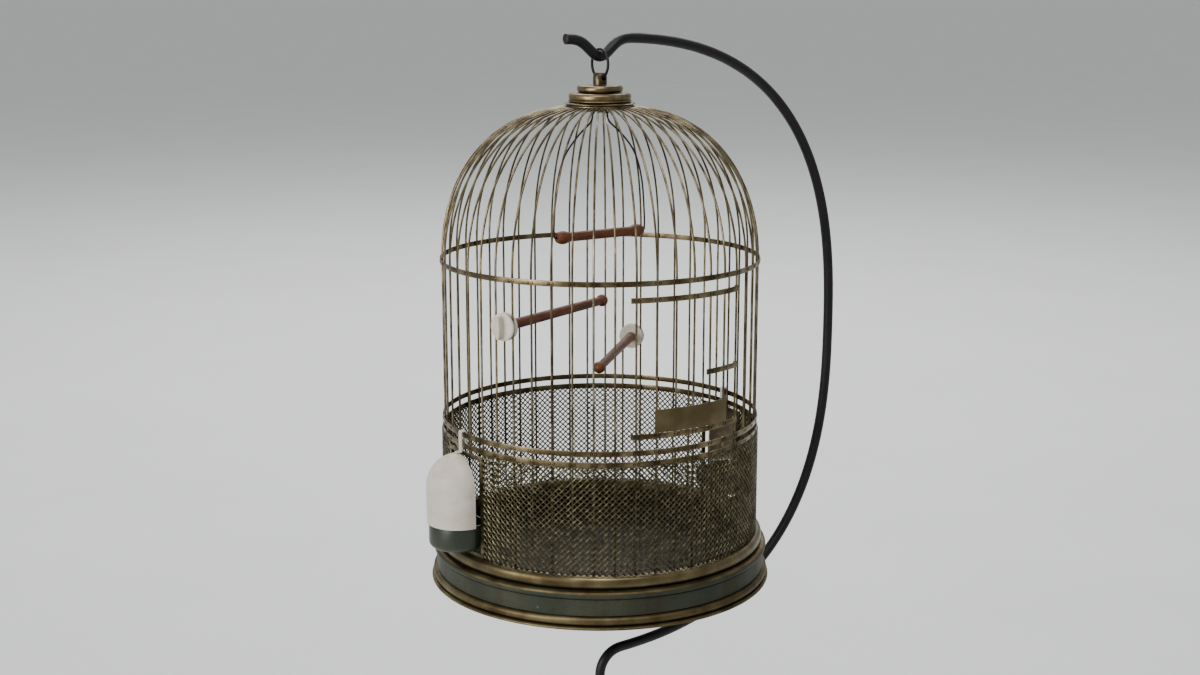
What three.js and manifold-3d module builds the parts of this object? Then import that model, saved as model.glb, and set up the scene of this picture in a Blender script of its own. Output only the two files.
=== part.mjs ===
// A dome-topped round wire bird cage that hangs by a ring from a crook-shaped iron floor stand.
// Millimetres, +Z up. The origin is on the pole's axis, on the floor under the base pad.
// The cage is laid out from its datum, the top edge of its middle band: z is counted from there.
// Angles round the cage are in degrees from the front (-Y) towards +X.
import * as THREE from "three";
import Module from "manifold-3d";
import { mergeVertices } from "three/addons/utils/BufferGeometryUtils.js";

const wasm = await Module();
wasm.setup();

// ---- Overall sizes ----
const DATUM_Z = 1450; // the cage's middle band above the floor
const CAGE_R = 150; // outside of the bands
const WALL_H = 264; // from the datum down to the bottom ring
const DOME_RISE = 140; // bars' height at the crown above the datum
const GAP = 0.3; // kept between pieces that touch
const TOUCH = 0.01; // kept where a clamp's disc or a hook bears on the bars or the band

// ---- Bars, bands and mesh ----
const BAR_COUNT = 50;
const BAR_D = 2;
const BAND_T = 0.9; // a band's thickness
const BAND_H = 5;
const GUARD_RISE = 114; // top edge of the upper guard band, above the bottom ring
const MESH_RISE = 104; // top edge of the mesh's own band, above the bottom ring
const MESH_T = 1;
const DOME_FULLNESS = 2.635; // exponent of the dome's squarish shoulder
const SECTOR_BARS = 5; // bars soldered together as one fan
const COLLAR_IN_R = 24;
const COLLAR_OUT_R = 31;
const COLLAR_H = 2.4;
const FOOT_STRIP_H = 9; // the strip that holds a fan's lower ends, inside the bottom ring
const FOOT_STRIP_T = 2.6;
const BAR_TAIL = 2; // the bars' ends stop this far above the bottom ring's underside
const FACET = 7.2; // largest step in degrees along a curved strip

// ---- Door ----
const DOOR_HALF_BARS = 2; // the door takes the place of this many bars each side of the front
const DOOR_ROOM = 9.5; // open height above and below the door
const DOOR_OVERHANG = 2; // degrees that the strips reach past their last bar
const DOOR_PLATE_H = 20.8;
const DOOR_PLATE_HALF = 15.2; // degrees
const DOOR_MID_RISE = 56.5; // top edge of the middle strip, above the door's low edge
const HINGE_PLAY = 0.35;
const HINGE_WALL = 0.8;

// ---- Feeder ports and feeders ----
const PORT_ANGLES = { right: 90, left: -90 };
const PORT_HALF_BARS = 1.5; // from the port's middle to the bar behind each post
const FRAME_T = 1.2;
const FRAME_W = 4;
const FRAME_DROP = 2.6; // from the mesh band's lower edge to the port frame's top
const HOOD_R = 30;
const HOOD_H = 64;
const HOOD_WALL = 2;
const HOOD_STAND_OFF = 5; // from the bands' outside to the hood's open back
const CUP_INSET = 1.5; // the cup's radius is this much smaller than the hood's
const CUP_H = 23;
const CUP_WALL = 1.8;
const CUP_CORNER_R = 8;
const TROUGH_W = 44; // the cup's inner part, which reaches in through the port
const TROUGH_REACH = 14; // inside the bars
const HOOK_W = 5;
const HOOK_T = 1.4;
const HOOK_DEPTH = 10; // how far the hook reaches down behind the guard band
const HOOK_STAND_OFF = 2.1; // from the bands' outside to the hook's strap
const HOOK_FOOT = 2.5; // the hook's foot, on the hood's top

// ---- Bottom ring and seed pan ----
const RING_BEAD_H = 11.7;
const RING_BEAD_OUT = 6.75; // beyond CAGE_R
const SKIRT_H = 12; // the ring's skirt inside the pan
const SKIRT_T = 1.2;
const PAN_RIM_H = 7;
const PAN_WALL_H = 15.5;
const PAN_BEAD_H = 7.5;
const PAN_LIP_H = 3;
const PAN_GROOVE = 0.9;
const PAN_FLOOR_DROP = 24; // from the pan's rim down to its floor
const PAN_T = 1;
const PAN_OUT = { rim: 10.5, wall: 8.3, bead: 11.7, lip: 13.2, groove: 6.8 }; // beyond CAGE_R

// ---- Crown and hanging ring ----
const FLANGE_R = 32.7;
const FLANGE_H = 1.8;
const LOWER_DISC = { r: 29.4, h: 8.4 };
const UPPER_DISC = { r: 21.5, h: 6.6 };
const POST_R = 6.5;
const POST_H = 11.3;
const POST_HOLE_R = 2.6;
const POST_HOLE_Z = 6.5; // the hole's axis above the post's foot
const HANG_RING_R = 13.2; // middle of the wire
const HANG_WIRE_R = 1.3;

// ---- Stand ----
const ROD_R = 5;
const SIDE_ROOM = 137; // from the bands to the middle of the rod at its widest
const UNDER_ROOM = 87; // from the pan's lip down to the middle of the rod
const ARM_FULLNESS = 2.54;
const NOTCH_DEPTH = 17;
const NOTCH_WIDTH = 16.5;
const TIP_REACH = 40; // the hook's free end, beyond the pole's axis
const LOWER_BEND_R = 24;
const ARM_TAIL = 130; // straight rod under the lower bend, down to the coupler
const POLE_R = 6;
const COUPLER_R = 9;
const COUPLER_GRIP = 22; // length of rod, and of pole, inside the coupler
const BASE_R = 150;
const BASE_EDGE_H = 8;
const BASE_BOSS_R = 17;
const BASE_BOSS_H = 36;
const BASE_BOSS_FLARE = 9; // the boss spreads by this much at its foot
const BASE_CROWN_RISE = 18; // from the edge's shoulder up to the boss
const BASE_SLOPE_W = 30; // breadth of the slope inside the edge, and of the one round the boss
const PAD_T = 2;
const PAD_INSET = 4;
const BASE_SCREW_R = 4;
const BASE_SCREW_HEAD = { r: 7, h: 5 };
const BASE_SCREW_GRIP = 22; // thread inside the pole
const BASE_SCREW_SINK = 1; // the screw's head above the casting's underside
const BASE_WASHER = { r: 9, h: 1.4 };
const BASE_WEB = 6; // casting left between the washer's seat and the pole's foot

// ---- Perches and swing ----
const UPPER_PERCH = { angle: -68.4, drop: 44.5 }; // under the datum
const LOWER_PERCH = { angle: 133.2, rise: 41.7 }; // above the upper guard band
const PERCH_R = 4.75;
const PERCH_KNOB_R = 5.75;
const PERCH_OVERSHOOT = 9; // the knob's end beyond the cage's axis
const CLAMP_DISC_R = 12.5;
const CLAMP_DISC_T = 2.6;
const WING = { w: 5.5, h: 7, l: 21 }; // the upright thumb ridge on the nut
const STUD_R = 2;
const STUD_HOLE_R = 2.35;
const STUD_DEPTH = 15; // inside the dowel
const SWING_DROP = 115; // from the hanger down to the middle of the swing's perch
const SWING_WIRE_R = 0.9;
const SWING_EYE_X = 8;
const SWING_HALF = 50.8; // the wires' distance from the axis at the perch
const SWING_PERCH_HALF = 48; // half the perch's length
const SWING_PERCH_R = 4.5;
const SWING_KNOB_R = 6.2;
const SWING_PIN_DEPTH = 8; // the wires' ends inside the perch
const SWING_PIN_R = 1.2;
const HANGER_DROP = 6; // the swing's pin under the flange
const HANGER_PIN_OVERHANG = 6; // the pin's ends beyond the wires' eyes
const HANGER_LUG = { w: 6, t: 2 }; // the plate between the flange and the pin

// ---- Worked-out places ----
const PITCH = 360 / BAR_COUNT;
const BAR_R = CAGE_R - BAND_T - GAP - BAR_D / 2;
const BAND_IN_R = CAGE_R - BAND_T;
// The bottom ring's flat facets clear the strips at the bars' feet halfway between the bars too.
const RING_IN_R = (BAND_IN_R + GAP) / Math.cos(Math.PI / BAR_COUNT);
const RING_TOP = -WALL_H;
const GUARD_TOP = RING_TOP + GUARD_RISE;
const MESH_BAND_TOP = RING_TOP + MESH_RISE;
const RING_LOW = RING_TOP - RING_BEAD_H;
const PAN_TOP = RING_LOW - GAP;
const PAN_LOW = PAN_TOP - PAN_RIM_H - PAN_WALL_H - PAN_BEAD_H - PAN_LIP_H - 2 * PAN_GROOVE;
const FRAME_TOP = MESH_BAND_TOP - BAND_H - FRAME_DROP;
const FRAME_IN_R = CAGE_R - BAND_T + GAP;
const FLANGE_Z = DOME_RISE + GAP;
const LOWER_DISC_Z = FLANGE_Z + FLANGE_H + GAP;
const UPPER_DISC_Z = LOWER_DISC_Z + LOWER_DISC.h + GAP;
const POST_Z = UPPER_DISC_Z + UPPER_DISC.h + GAP;
const POST_HOLE_AT = POST_Z + POST_HOLE_Z;
// The hanging ring touches the mouths of the post's hole, POST_R away from its own lowest point.
const RING_RISE = HANG_RING_R - Math.sqrt(HANG_RING_R ** 2 - POST_R ** 2);
const HANG_RING_Z = POST_HOLE_AT + POST_HOLE_R - GAP - HANG_WIRE_R - RING_RISE + HANG_RING_R;
const NOTCH_Z = HANG_RING_Z + HANG_RING_R - HANG_WIRE_R - GAP - ROD_R;
const ARM_TOP = NOTCH_Z + NOTCH_DEPTH;
const ARM_LOW = PAN_LOW - UNDER_ROOM;
const ARM_REACH = CAGE_R + SIDE_ROOM;
const BEND_Z = ARM_LOW - LOWER_BEND_R;
const ARM_END = BEND_Z - ARM_TAIL;
const HANGER_Z = FLANGE_Z - HANGER_DROP;
const BASE_LOW = PAD_T + GAP;
const WASHER_LOW = BASE_LOW + BASE_SCREW_SINK + BASE_SCREW_HEAD.h + GAP;
const WASHER_SEAT = WASHER_LOW + BASE_WASHER.h + GAP;
const SOCKET_FLOOR = WASHER_SEAT + BASE_WEB;
const POLE_FOOT = SOCKET_FLOOR + GAP;

// ---- Finishes ----
function finish(color, roughness, metalness) {
  return () => new THREE.MeshStandardMaterial({ color, roughness, metalness });
}
const agedBrass = finish(0x8a7a5c, 0.42, 1);
const crownBrass = finish(0x9a8462, 0.38, 1);
const darkBronze = finish(0x6b6450, 0.5, 1);
const panEnamel = finish(0x5d6152, 0.5, 0.6);
const blackIron = finish(0x0d0d0e, 0.55, 0.7);
const castIron = finish(0x121213, 0.65, 0.6);
const redWood = finish(0x7a3b22, 0.55, 0);
const ivoryPlastic = finish(0xd9d2c8, 0.45, 0);
const greenPlastic = finish(0x2c3a24, 0.4, 0);
const blackFelt = finish(0x1a1a1a, 0.95, 0);
const steel = finish(0x77736c, 0.4, 1);

// ---- Geometry helpers ----
const rad = THREE.MathUtils.degToRad;

// A point on a circle round the cage's axis, at an angle from the front.
function around(radius, degrees, z) {
  return new THREE.Vector3(radius * Math.sin(rad(degrees)), -radius * Math.cos(rad(degrees)), z);
}

// A round piece about the Z axis from [radius, z] points, outside edge upwards.
function turned(points, segments) {
  const profile = points.map(([r, z]) => new THREE.Vector2(r, z));
  return new THREE.LatheGeometry(profile, segments).rotateX(Math.PI / 2);
}

// The same for a profile that closes on itself, such as a ring or a sleeve.
function turnedRing(points, segments) {
  return turned([...points, points[0]], segments);
}

// [radius, z] points along an arc, from one angle to another in degrees.
function arcPoints(centreR, centreZ, radius, from, to, steps) {
  return Array.from({ length: steps + 1 }, (_, i) => {
    const a = rad(from + ((to - from) * i) / steps);
    return [centreR + radius * Math.cos(a), centreZ + radius * Math.sin(a)];
  });
}

// A curved strip of the cage's wall, between two radii, two angles and two heights.
function wallStrip(inR, outR, from, to, low, high) {
  const steps = Math.max(1, Math.ceil((to - from) / FACET));
  const at = (radius, i) => around(radius, from + ((to - from) * i) / steps, 0);
  const outline = [];
  for (let i = 0; i <= steps; i++) outline.push(at(outR, i));
  for (let i = steps; i >= 0; i--) outline.push(at(inR, i));
  const shape = new THREE.Shape(outline.map((p) => new THREE.Vector2(p.x, p.y)));
  const depth = high - low;
  return new THREE.ExtrudeGeometry(shape, { depth, bevelEnabled: false }).translate(0, 0, low);
}

// A path through given points, with a step of the extrusion at each one.
class Route extends THREE.Curve {
  constructor(points) {
    super();
    this.points = points;
  }
  getPointAt(u) {
    return this.points[Math.round(u * (this.points.length - 1))].clone();
  }
  getTangentAt(u) {
    const i = Math.round(u * (this.points.length - 1));
    const before = this.points[Math.max(i - 1, 0)];
    const after = this.points[Math.min(i + 1, this.points.length - 1)];
    return after.clone().sub(before).normalize();
  }
}

// A round wire or rod along points.
function wire(points, radius, sides) {
  const rim = Array.from({ length: sides }, (_, i) => {
    const a = (2 * Math.PI * i) / sides;
    return new THREE.Vector2(radius * Math.cos(a), radius * Math.sin(a));
  });
  const extrudePath = new Route(points);
  return new THREE.ExtrudeGeometry(new THREE.Shape(rim), { steps: points.length - 1, extrudePath });
}

function box(x0, x1, y0, y1, z0, z1) {
  const block = new THREE.BoxGeometry(x1 - x0, y1 - y0, z1 - z0);
  return block.translate((x0 + x1) / 2, (y0 + y1) / 2, (z0 + z1) / 2);
}

function solidOf(geometry) {
  const bare = geometry.clone();
  bare.deleteAttribute("normal");
  bare.deleteAttribute("uv");
  const merged = mergeVertices(bare, 1e-4);
  const vertProperties = merged.attributes.position.array;
  const triVerts = new Uint32Array(merged.index.array);
  return new wasm.Manifold(new wasm.Mesh({ numProp: 3, vertProperties, triVerts }));
}

function geometryOf(solid) {
  const { vertProperties, triVerts } = solid.getMesh();
  const geometry = new THREE.BufferGeometry();
  geometry.setAttribute("position", new THREE.BufferAttribute(vertProperties, 3));
  geometry.setIndex(new THREE.BufferAttribute(triVerts, 1));
  geometry.computeVertexNormals();
  return geometry;
}

function joined(...geometries) {
  return geometryOf(geometries.map(solidOf).reduce((sum, next) => sum.add(next)));
}

function without(geometry, ...tools) {
  return geometryOf(tools.map(solidOf).reduce((rest, tool) => rest.subtract(tool), solidOf(geometry)));
}

function piece(name, geometry, material) {
  const mesh = new THREE.Mesh(geometry, material());
  mesh.name = name;
  return mesh;
}

// ---- Stand ----
function basePad() {
  const r = BASE_R - PAD_INSET;
  return piece("base_felt_pad", turned([[0, 0], [r, 0], [r, PAD_T], [0, PAD_T]], 32), blackFelt);
}

function baseCasting() {
  const recessR = BASE_WASHER.r + 2;
  const bossFootR = BASE_BOSS_R + BASE_BOSS_FLARE;
  const boss = BASE_LOW + BASE_BOSS_H;
  const shoulder = BASE_LOW + BASE_EDGE_H;
  const rise = (share) => shoulder + share * BASE_CROWN_RISE;
  const profile = [
    [recessR, BASE_LOW],
    [BASE_R, BASE_LOW],
    [BASE_R, shoulder - 2],
    [BASE_R - 4, shoulder],
    [BASE_R - BASE_SLOPE_W, rise(0.33)],
    [bossFootR + BASE_SLOPE_W, rise(0.56)],
    [bossFootR, rise(0.72)],
    [BASE_BOSS_R, rise(1)],
    [BASE_BOSS_R - 2, boss],
    [POLE_R + GAP, boss],
    [POLE_R + GAP, SOCKET_FLOOR],
    [BASE_SCREW_R + GAP, SOCKET_FLOOR],
    [BASE_SCREW_R + GAP, WASHER_SEAT],
    [recessR, WASHER_SEAT],
  ];
  return piece("base_casting", turnedRing(profile, 32), castIron);
}

function baseScrew() {
  const { r, h } = BASE_SCREW_HEAD;
  const low = BASE_LOW + BASE_SCREW_SINK;
  const top = POLE_FOOT + BASE_SCREW_GRIP;
  const head = [[r, low], [r, low + h]];
  const shank = [[BASE_SCREW_R, low + h], [BASE_SCREW_R, top]];
  const profile = [[0, low], ...head, ...shank, [0, top]];
  return piece("base_screw", turned(profile, 12), steel);
}

function baseWasher() {
  const { r, h } = BASE_WASHER;
  const inR = BASE_SCREW_R + GAP;
  const top = WASHER_LOW + h;
  const profile = [[inR, WASHER_LOW], [r, WASHER_LOW], [r, top], [inR, top]];
  return piece("base_washer", turnedRing(profile, 12), steel);
}

function pole() {
  const top = DATUM_Z + ARM_END - GAP;
  const boreR = BASE_SCREW_R + GAP;
  const boreTop = POLE_FOOT + BASE_SCREW_GRIP + GAP;
  const rod = turned([[0, POLE_FOOT], [POLE_R, POLE_FOOT], [POLE_R, top], [0, top]], 16);
  const bore = turned([[0, POLE_FOOT - 1], [boreR, POLE_FOOT - 1], [boreR, boreTop], [0, boreTop]], 16);
  return piece("stand_pole", without(rod, bore), blackIron);
}

function coupler() {
  const middle = DATUM_Z + ARM_END;
  const low = middle - COUPLER_GRIP;
  const high = middle + COUPLER_GRIP;
  const poleR = POLE_R + GAP;
  const rodR = ROD_R + GAP;
  const profile = [
    [poleR, low],
    [COUPLER_R - 1, low],
    [COUPLER_R, low + 1],
    [COUPLER_R, high - 1],
    [COUPLER_R - 1, high],
    [rodR, high],
    [rodR, middle],
    [poleR, middle],
  ];
  return piece("pole_coupler", turnedRing(profile, 12), blackIron);
}

// Height of the arm's upper run at x: a squarish oval, with a dip that holds the hanging ring.
function armTopZ(x) {
  const middle = (ARM_TOP + ARM_LOW) / 2;
  const half = (ARM_TOP - ARM_LOW) / 2;
  const oval = half * (1 - Math.abs(x / ARM_REACH) ** ARM_FULLNESS) ** (1 / ARM_FULLNESS);
  return middle + oval - NOTCH_DEPTH * Math.exp(-((x / NOTCH_WIDTH) ** 2));
}

function armPoints() {
  const points = [];
  const middle = (ARM_TOP + ARM_LOW) / 2;
  const half = (ARM_TOP - ARM_LOW) / 2;
  const hookEnd = 3 * NOTCH_WIDTH;
  const hookSteps = 14;
  for (let i = 0; i <= hookSteps; i++) {
    const x = -TIP_REACH + ((hookEnd + TIP_REACH) * i) / hookSteps;
    points.push([x, armTopZ(x)]);
  }
  const ovalSteps = 20;
  const start = Math.acos((hookEnd / ARM_REACH) ** (ARM_FULLNESS / 2));
  const end = -Math.acos((LOWER_BEND_R / ARM_REACH) ** (ARM_FULLNESS / 2));
  for (let i = 1; i <= ovalSteps; i++) {
    const t = start + ((end - start) * i) / ovalSteps;
    const x = ARM_REACH * Math.cos(t) ** (2 / ARM_FULLNESS);
    const z = middle + half * Math.sign(Math.sin(t)) * Math.abs(Math.sin(t)) ** (2 / ARM_FULLNESS);
    points.push([x, z]);
  }
  const bendSteps = 3;
  for (let i = 1; i <= bendSteps; i++) {
    const a = rad(90 + (90 * i) / bendSteps);
    points.push([LOWER_BEND_R + LOWER_BEND_R * Math.cos(a), BEND_Z + LOWER_BEND_R * Math.sin(a)]);
  }
  points.push([0, ARM_END]);
  return points.map(([x, z]) => new THREE.Vector3(x, 0, z));
}

function arm() {
  const mesh = piece("stand_arm", wire(armPoints(), ROD_R, 8), blackIron);
  mesh.position.z = DATUM_Z;
  return mesh;
}

// ---- Hanging ring and crown ----
function hangingRing() {
  const profile = arcPoints(HANG_RING_R, 0, HANG_WIRE_R, 0, 360, 6).slice(0, -1);
  const geometry = turnedRing(profile, 24).rotateY(Math.PI / 2);
  return piece("hanging_ring", geometry.translate(0, 0, HANG_RING_Z), blackIron);
}

function crownFlange() {
  const z = FLANGE_Z;
  const edge = [[FLANGE_R, z], [FLANGE_R, z + 1], [FLANGE_R - 1, z + FLANGE_H]];
  const profile = [[0, z], ...edge, [0, z + FLANGE_H]];
  return piece("crown_flange", turned(profile, 24), crownBrass);
}

function crownDisc(name, { r, h }, z) {
  const round = 0.42 * h; // radius of the bulging edge
  const edge = arcPoints(r - round, z + round, round, -60, 60, 3);
  const profile = [[0, z], [r - h / 2 - 1, z], ...edge, [r - h, z + h], [0, z + h]];
  return piece(name, turned(profile, 24), crownBrass);
}

function crownPost() {
  const z = POST_Z;
  const top = z + POST_H;
  const rounded = [[POST_R - 0.4, top - 2], [POST_R - 1.6, top - 0.4]];
  const profile = [[0, z], [POST_R, z], ...rounded, [0, top]];
  const hole = new THREE.CylinderGeometry(POST_HOLE_R, POST_HOLE_R, 4 * POST_R, 12);
  return piece("crown_post", without(turned(profile, 16), hole.translate(0, 0, POST_HOLE_AT)), crownBrass);
}

function swingHanger() {
  const half = SWING_EYE_X + HANGER_PIN_OVERHANG;
  const ends = [new THREE.Vector3(-half, 0, HANGER_Z), new THREE.Vector3(half, 0, HANGER_Z)];
  const pin = wire(ends, SWING_PIN_R, 8);
  const lugX = HANGER_LUG.w / 2;
  const lugY = HANGER_LUG.t / 2;
  const plate = box(-lugX, lugX, -lugY, lugY, HANGER_Z - 2, FLANGE_Z - GAP);
  return piece("swing_hanger", joined(pin, plate), crownBrass);
}

// ---- Bars ----
// The dome's outline: a squarish quarter oval, from the wall (t = 0) to the crown.
function domePoint(t) {
  return [BAR_R * Math.cos(t) ** (2 / DOME_FULLNESS), (DOME_RISE - BAR_D / 2) * Math.sin(t)];
}

function barPoints(k, low) {
  const crownT = Math.acos(((COLLAR_OUT_R - 2) / BAR_R) ** (DOME_FULLNESS / 2));
  const steps = 6;
  const points = [];
  for (let i = 0; i <= steps; i++) {
    const [r, z] = domePoint(crownT * (1 - i / steps));
    points.push(around(r, k * PITCH, z));
  }
  points.push(around(BAR_R, k * PITCH, low));
  return points;
}

// How far down bar k runs: the door and the feeder ports cut some short.
function barEnd(k) {
  if (Math.abs(k) <= DOOR_HALF_BARS) return -BAND_H;
  const fromPort = Math.abs(Math.abs(((k * PITCH + 180) % 360) - 180) - 90);
  if (fromPort < PORT_HALF_BARS * PITCH - 1) return FRAME_TOP - FRAME_W;
  return RING_LOW + BAR_TAIL;
}

function collarSector(middle) {
  const half = (SECTOR_BARS * PITCH) / 2 - THREE.MathUtils.radToDeg(GAP / COLLAR_IN_R / 2);
  const top = DOME_RISE;
  return wallStrip(COLLAR_IN_R, COLLAR_OUT_R, middle - half, middle + half, top - COLLAR_H, top);
}

function footSector(middle) {
  const half = (SECTOR_BARS * PITCH) / 2 - THREE.MathUtils.radToDeg(GAP / BAR_R / 2);
  const outR = BAR_R + FOOT_STRIP_T / 2;
  const low = RING_TOP - FOOT_STRIP_H;
  return wallStrip(outR - FOOT_STRIP_T, outR, middle - half, middle + half, low, RING_TOP);
}

function barFans() {
  const fans = [];
  const count = BAR_COUNT / SECTOR_BARS;
  const halfFan = (SECTOR_BARS - 1) / 2;
  for (let s = 0; s < count; s++) {
    const middle = s * SECTOR_BARS;
    const parts = [collarSector(middle * PITCH)];
    for (let k = middle - halfFan; k <= middle + halfFan; k++) {
      parts.push(wire(barPoints(k, barEnd(k)), BAR_D / 2, 4));
    }
    if (s > 0) parts.push(footSector(middle * PITCH));
    fans.push(piece("bar_fan_" + String(s + 1).padStart(2, "0"), joined(...parts), agedBrass));
  }
  return fans;
}

function doorStubBars() {
  const parts = [footSector(0)];
  for (let k = -DOOR_HALF_BARS; k <= DOOR_HALF_BARS; k++) {
    const ends = [around(BAR_R, k * PITCH, GUARD_TOP), around(BAR_R, k * PITCH, RING_LOW + BAR_TAIL)];
    parts.push(wire(ends, BAR_D / 2, 4));
  }
  return piece("bar_stubs_under_door", joined(...parts), agedBrass);
}

// ---- Bands, mesh, bottom ring ----
function band(name, top) {
  const low = top - BAND_H;
  const profile = [[BAND_IN_R, low], [CAGE_R, low], [CAGE_R, top], [BAND_IN_R, top]];
  return piece(name, turnedRing(profile, BAR_COUNT), agedBrass);
}

function portHalfAngle() {
  return PORT_HALF_BARS * PITCH + THREE.MathUtils.radToDeg(FRAME_W / 2 / CAGE_R);
}

function meshGuard(name, middle) {
  const half = 90 - portHalfAngle() - THREE.MathUtils.radToDeg(GAP / CAGE_R);
  const high = MESH_BAND_TOP - BAND_H - GAP;
  const low = RING_TOP + GAP;
  const outR = BAND_IN_R + MESH_T;
  const sheet = wallStrip(BAND_IN_R, outR, middle - half, middle + half, low, high);
  return piece(name, sheet, darkBronze);
}

function portFrame(side) {
  const half = portHalfAngle();
  const post = THREE.MathUtils.radToDeg(FRAME_W / CAGE_R);
  const middle = PORT_ANGLES[side];
  const outR = FRAME_IN_R + FRAME_T;
  const low = RING_TOP + GAP;
  const strip = (from, to, z0, z1) => wallStrip(FRAME_IN_R, outR, middle + from, middle + to, z0, z1);
  const sheet = joined(
    strip(-half, -half + post, low, FRAME_TOP),
    strip(half - post, half, low, FRAME_TOP),
    strip(-half, half, FRAME_TOP - FRAME_W, FRAME_TOP),
    strip(-half, half, low, low + FRAME_W),
  );
  return piece("port_frame_" + side, sheet, darkBronze);
}

function bottomRing() {
  const skirtR = RING_IN_R + SKIRT_T;
  const beadR = RING_BEAD_H / 2;
  const centreR = CAGE_R + RING_BEAD_OUT - beadR;
  const profile = [
    [RING_IN_R, RING_LOW - SKIRT_H],
    [skirtR, RING_LOW - SKIRT_H],
    [skirtR, RING_LOW],
    ...arcPoints(centreR, RING_TOP - beadR, beadR, -90, 90, 3),
    [RING_IN_R, RING_TOP],
  ];
  return piece("bottom_ring", turnedRing(profile, BAR_COUNT), agedBrass);
}

// ---- Seed pan ----
function seedPan() {
  const r = (name) => CAGE_R + PAN_OUT[name];
  const boreR = RING_IN_R + SKIRT_T + GAP;
  const rimLow = PAN_TOP - PAN_RIM_H;
  const wallLow = rimLow - PAN_WALL_H;
  const beadTop = wallLow - PAN_GROOVE;
  const beadLow = beadTop - PAN_BEAD_H;
  const lipTop = beadLow - PAN_GROOVE;
  const floorZ = PAN_TOP - PAN_FLOOR_DROP;
  const inR = r("groove") - PAN_T;
  const beadR = PAN_BEAD_H / 2;
  const rimR = PAN_RIM_H / 2;
  const profile = [
    [0, floorZ - PAN_T],
    [inR - 5, floorZ - PAN_T],
    [inR, lipTop],
    [r("lip") - 4, PAN_LOW],
    [r("lip"), PAN_LOW],
    [r("lip"), lipTop],
    [r("groove"), lipTop],
    [r("groove"), beadLow],
    ...arcPoints(r("bead") - beadR, beadTop - beadR, beadR, -60, 60, 1),
    [r("groove"), beadTop],
    [r("wall"), wallLow],
    [r("wall"), rimLow],
    ...arcPoints(r("rim") - rimR, PAN_TOP - rimR, rimR, -60, 90, 2),
    [boreR, PAN_TOP],
    [boreR, rimLow],
    [inR, rimLow - PAN_T],
    [inR, floorZ + 4],
    [inR - 4, floorZ],
    [0, floorZ],
  ];
  return piece("seed_pan", turned(profile, BAR_COUNT), panEnamel);
}

// ---- Door ----
const HINGE_ANGLE = (DOOR_HALF_BARS + 1) * PITCH;
const DOOR_TOP = -BAND_H - DOOR_ROOM;
const DOOR_LOW = GUARD_TOP + DOOR_ROOM;

function hingeLoop(low) {
  const inR = BAR_D / 2 + HINGE_PLAY;
  const outR = inR + HINGE_WALL;
  const ring = turnedRing([[inR, low], [outR, low], [outR, low + BAND_H], [inR, low + BAND_H]], 12);
  const { x, y } = around(BAR_R, HINGE_ANGLE, 0);
  return ring.translate(x, y, 0);
}

function doorStrip(name, from, top) {
  const low = top - BAND_H;
  const strip = wallStrip(BAND_IN_R, CAGE_R, from, HINGE_ANGLE, low, top);
  return piece(name, joined(strip, hingeLoop(low)), agedBrass);
}

function doorBar(k) {
  const ends = [around(BAR_R, k * PITCH, DOOR_LOW), around(BAR_R, k * PITCH, DOOR_TOP)];
  return piece("door_bar_" + (k + DOOR_HALF_BARS + 1), wire(ends, BAR_D / 2, 4), agedBrass);
}

function doorPlate() {
  const low = DOOR_LOW + BAND_H + GAP;
  const plate = wallStrip(BAND_IN_R, CAGE_R, -DOOR_PLATE_HALF, DOOR_PLATE_HALF, low, low + DOOR_PLATE_H);
  return piece("door_plate", plate, agedBrass);
}

function door() {
  const latchEnd = -HINGE_ANGLE - DOOR_OVERHANG;
  const pieces = [
    doorStrip("door_top_strip", latchEnd, DOOR_TOP),
    doorStrip("door_middle_strip", PITCH - DOOR_OVERHANG, DOOR_LOW + DOOR_MID_RISE),
    doorStrip("door_bottom_strip", latchEnd, DOOR_LOW + BAND_H),
    doorPlate(),
  ];
  for (let k = -DOOR_HALF_BARS; k <= DOOR_HALF_BARS; k++) pieces.push(doorBar(k));
  return pieces;
}

// ---- Feeders ----
// Each is laid out with its port straight ahead (-Y) and then turned to its side.
const HOOD_Y = -(CAGE_R + HOOD_STAND_OFF);
const HOOD_TOP = FRAME_TOP - 1.5;
const HOOD_LOW = HOOD_TOP - HOOD_H;

function hoodProfile(r, low) {
  const domeZ = HOOD_TOP - HOOD_R;
  return [[0, low], [r, low], ...arcPoints(0, domeZ, r, 0, 90, 5).slice(0, -1), [0, domeZ + r]];
}

function feederHood(side) {
  const outer = turned(hoodProfile(HOOD_R, HOOD_LOW), 24).translate(0, HOOD_Y, 0);
  const inner = turned(hoodProfile(HOOD_R - HOOD_WALL, HOOD_LOW - 1), 24).translate(0, HOOD_Y, 0);
  const back = box(-HOOD_R - 5, HOOD_R + 5, HOOD_Y, HOOD_Y + HOOD_R + 5, HOOD_LOW - 5, HOOD_TOP + 5);
  return piece("feeder_hood_" + side, without(outer, inner, back), ivoryPlastic);
}

// The cup's outside, or with a wall taken off its hollow: half round outside the cage, straight inside it.
function cupBody(inset, top) {
  const r = HOOD_R - CUP_INSET - inset;
  const low = HOOD_LOW - GAP - CUP_H + inset;
  const corner = CUP_CORNER_R - inset;
  const cornerArc = arcPoints(r - corner, low + corner, corner, -90, 0, 2);
  const round = turned([[0, low], ...cornerArc, [r, top], [0, top]], 24);
  const inside = -(BAR_R - TROUGH_REACH) - inset;
  const half = TROUGH_W / 2 - inset;
  const trough = box(-half, half, HOOD_Y - 1, inside, low, top);
  const frontOnly = box(-HOOD_R, HOOD_R, HOOD_Y + inset, HOOD_Y + HOOD_R, low - 1, top + 1);
  const halfRound = without(round.translate(0, HOOD_Y, 0), frontOnly);
  return joined(halfRound, trough);
}

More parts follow.
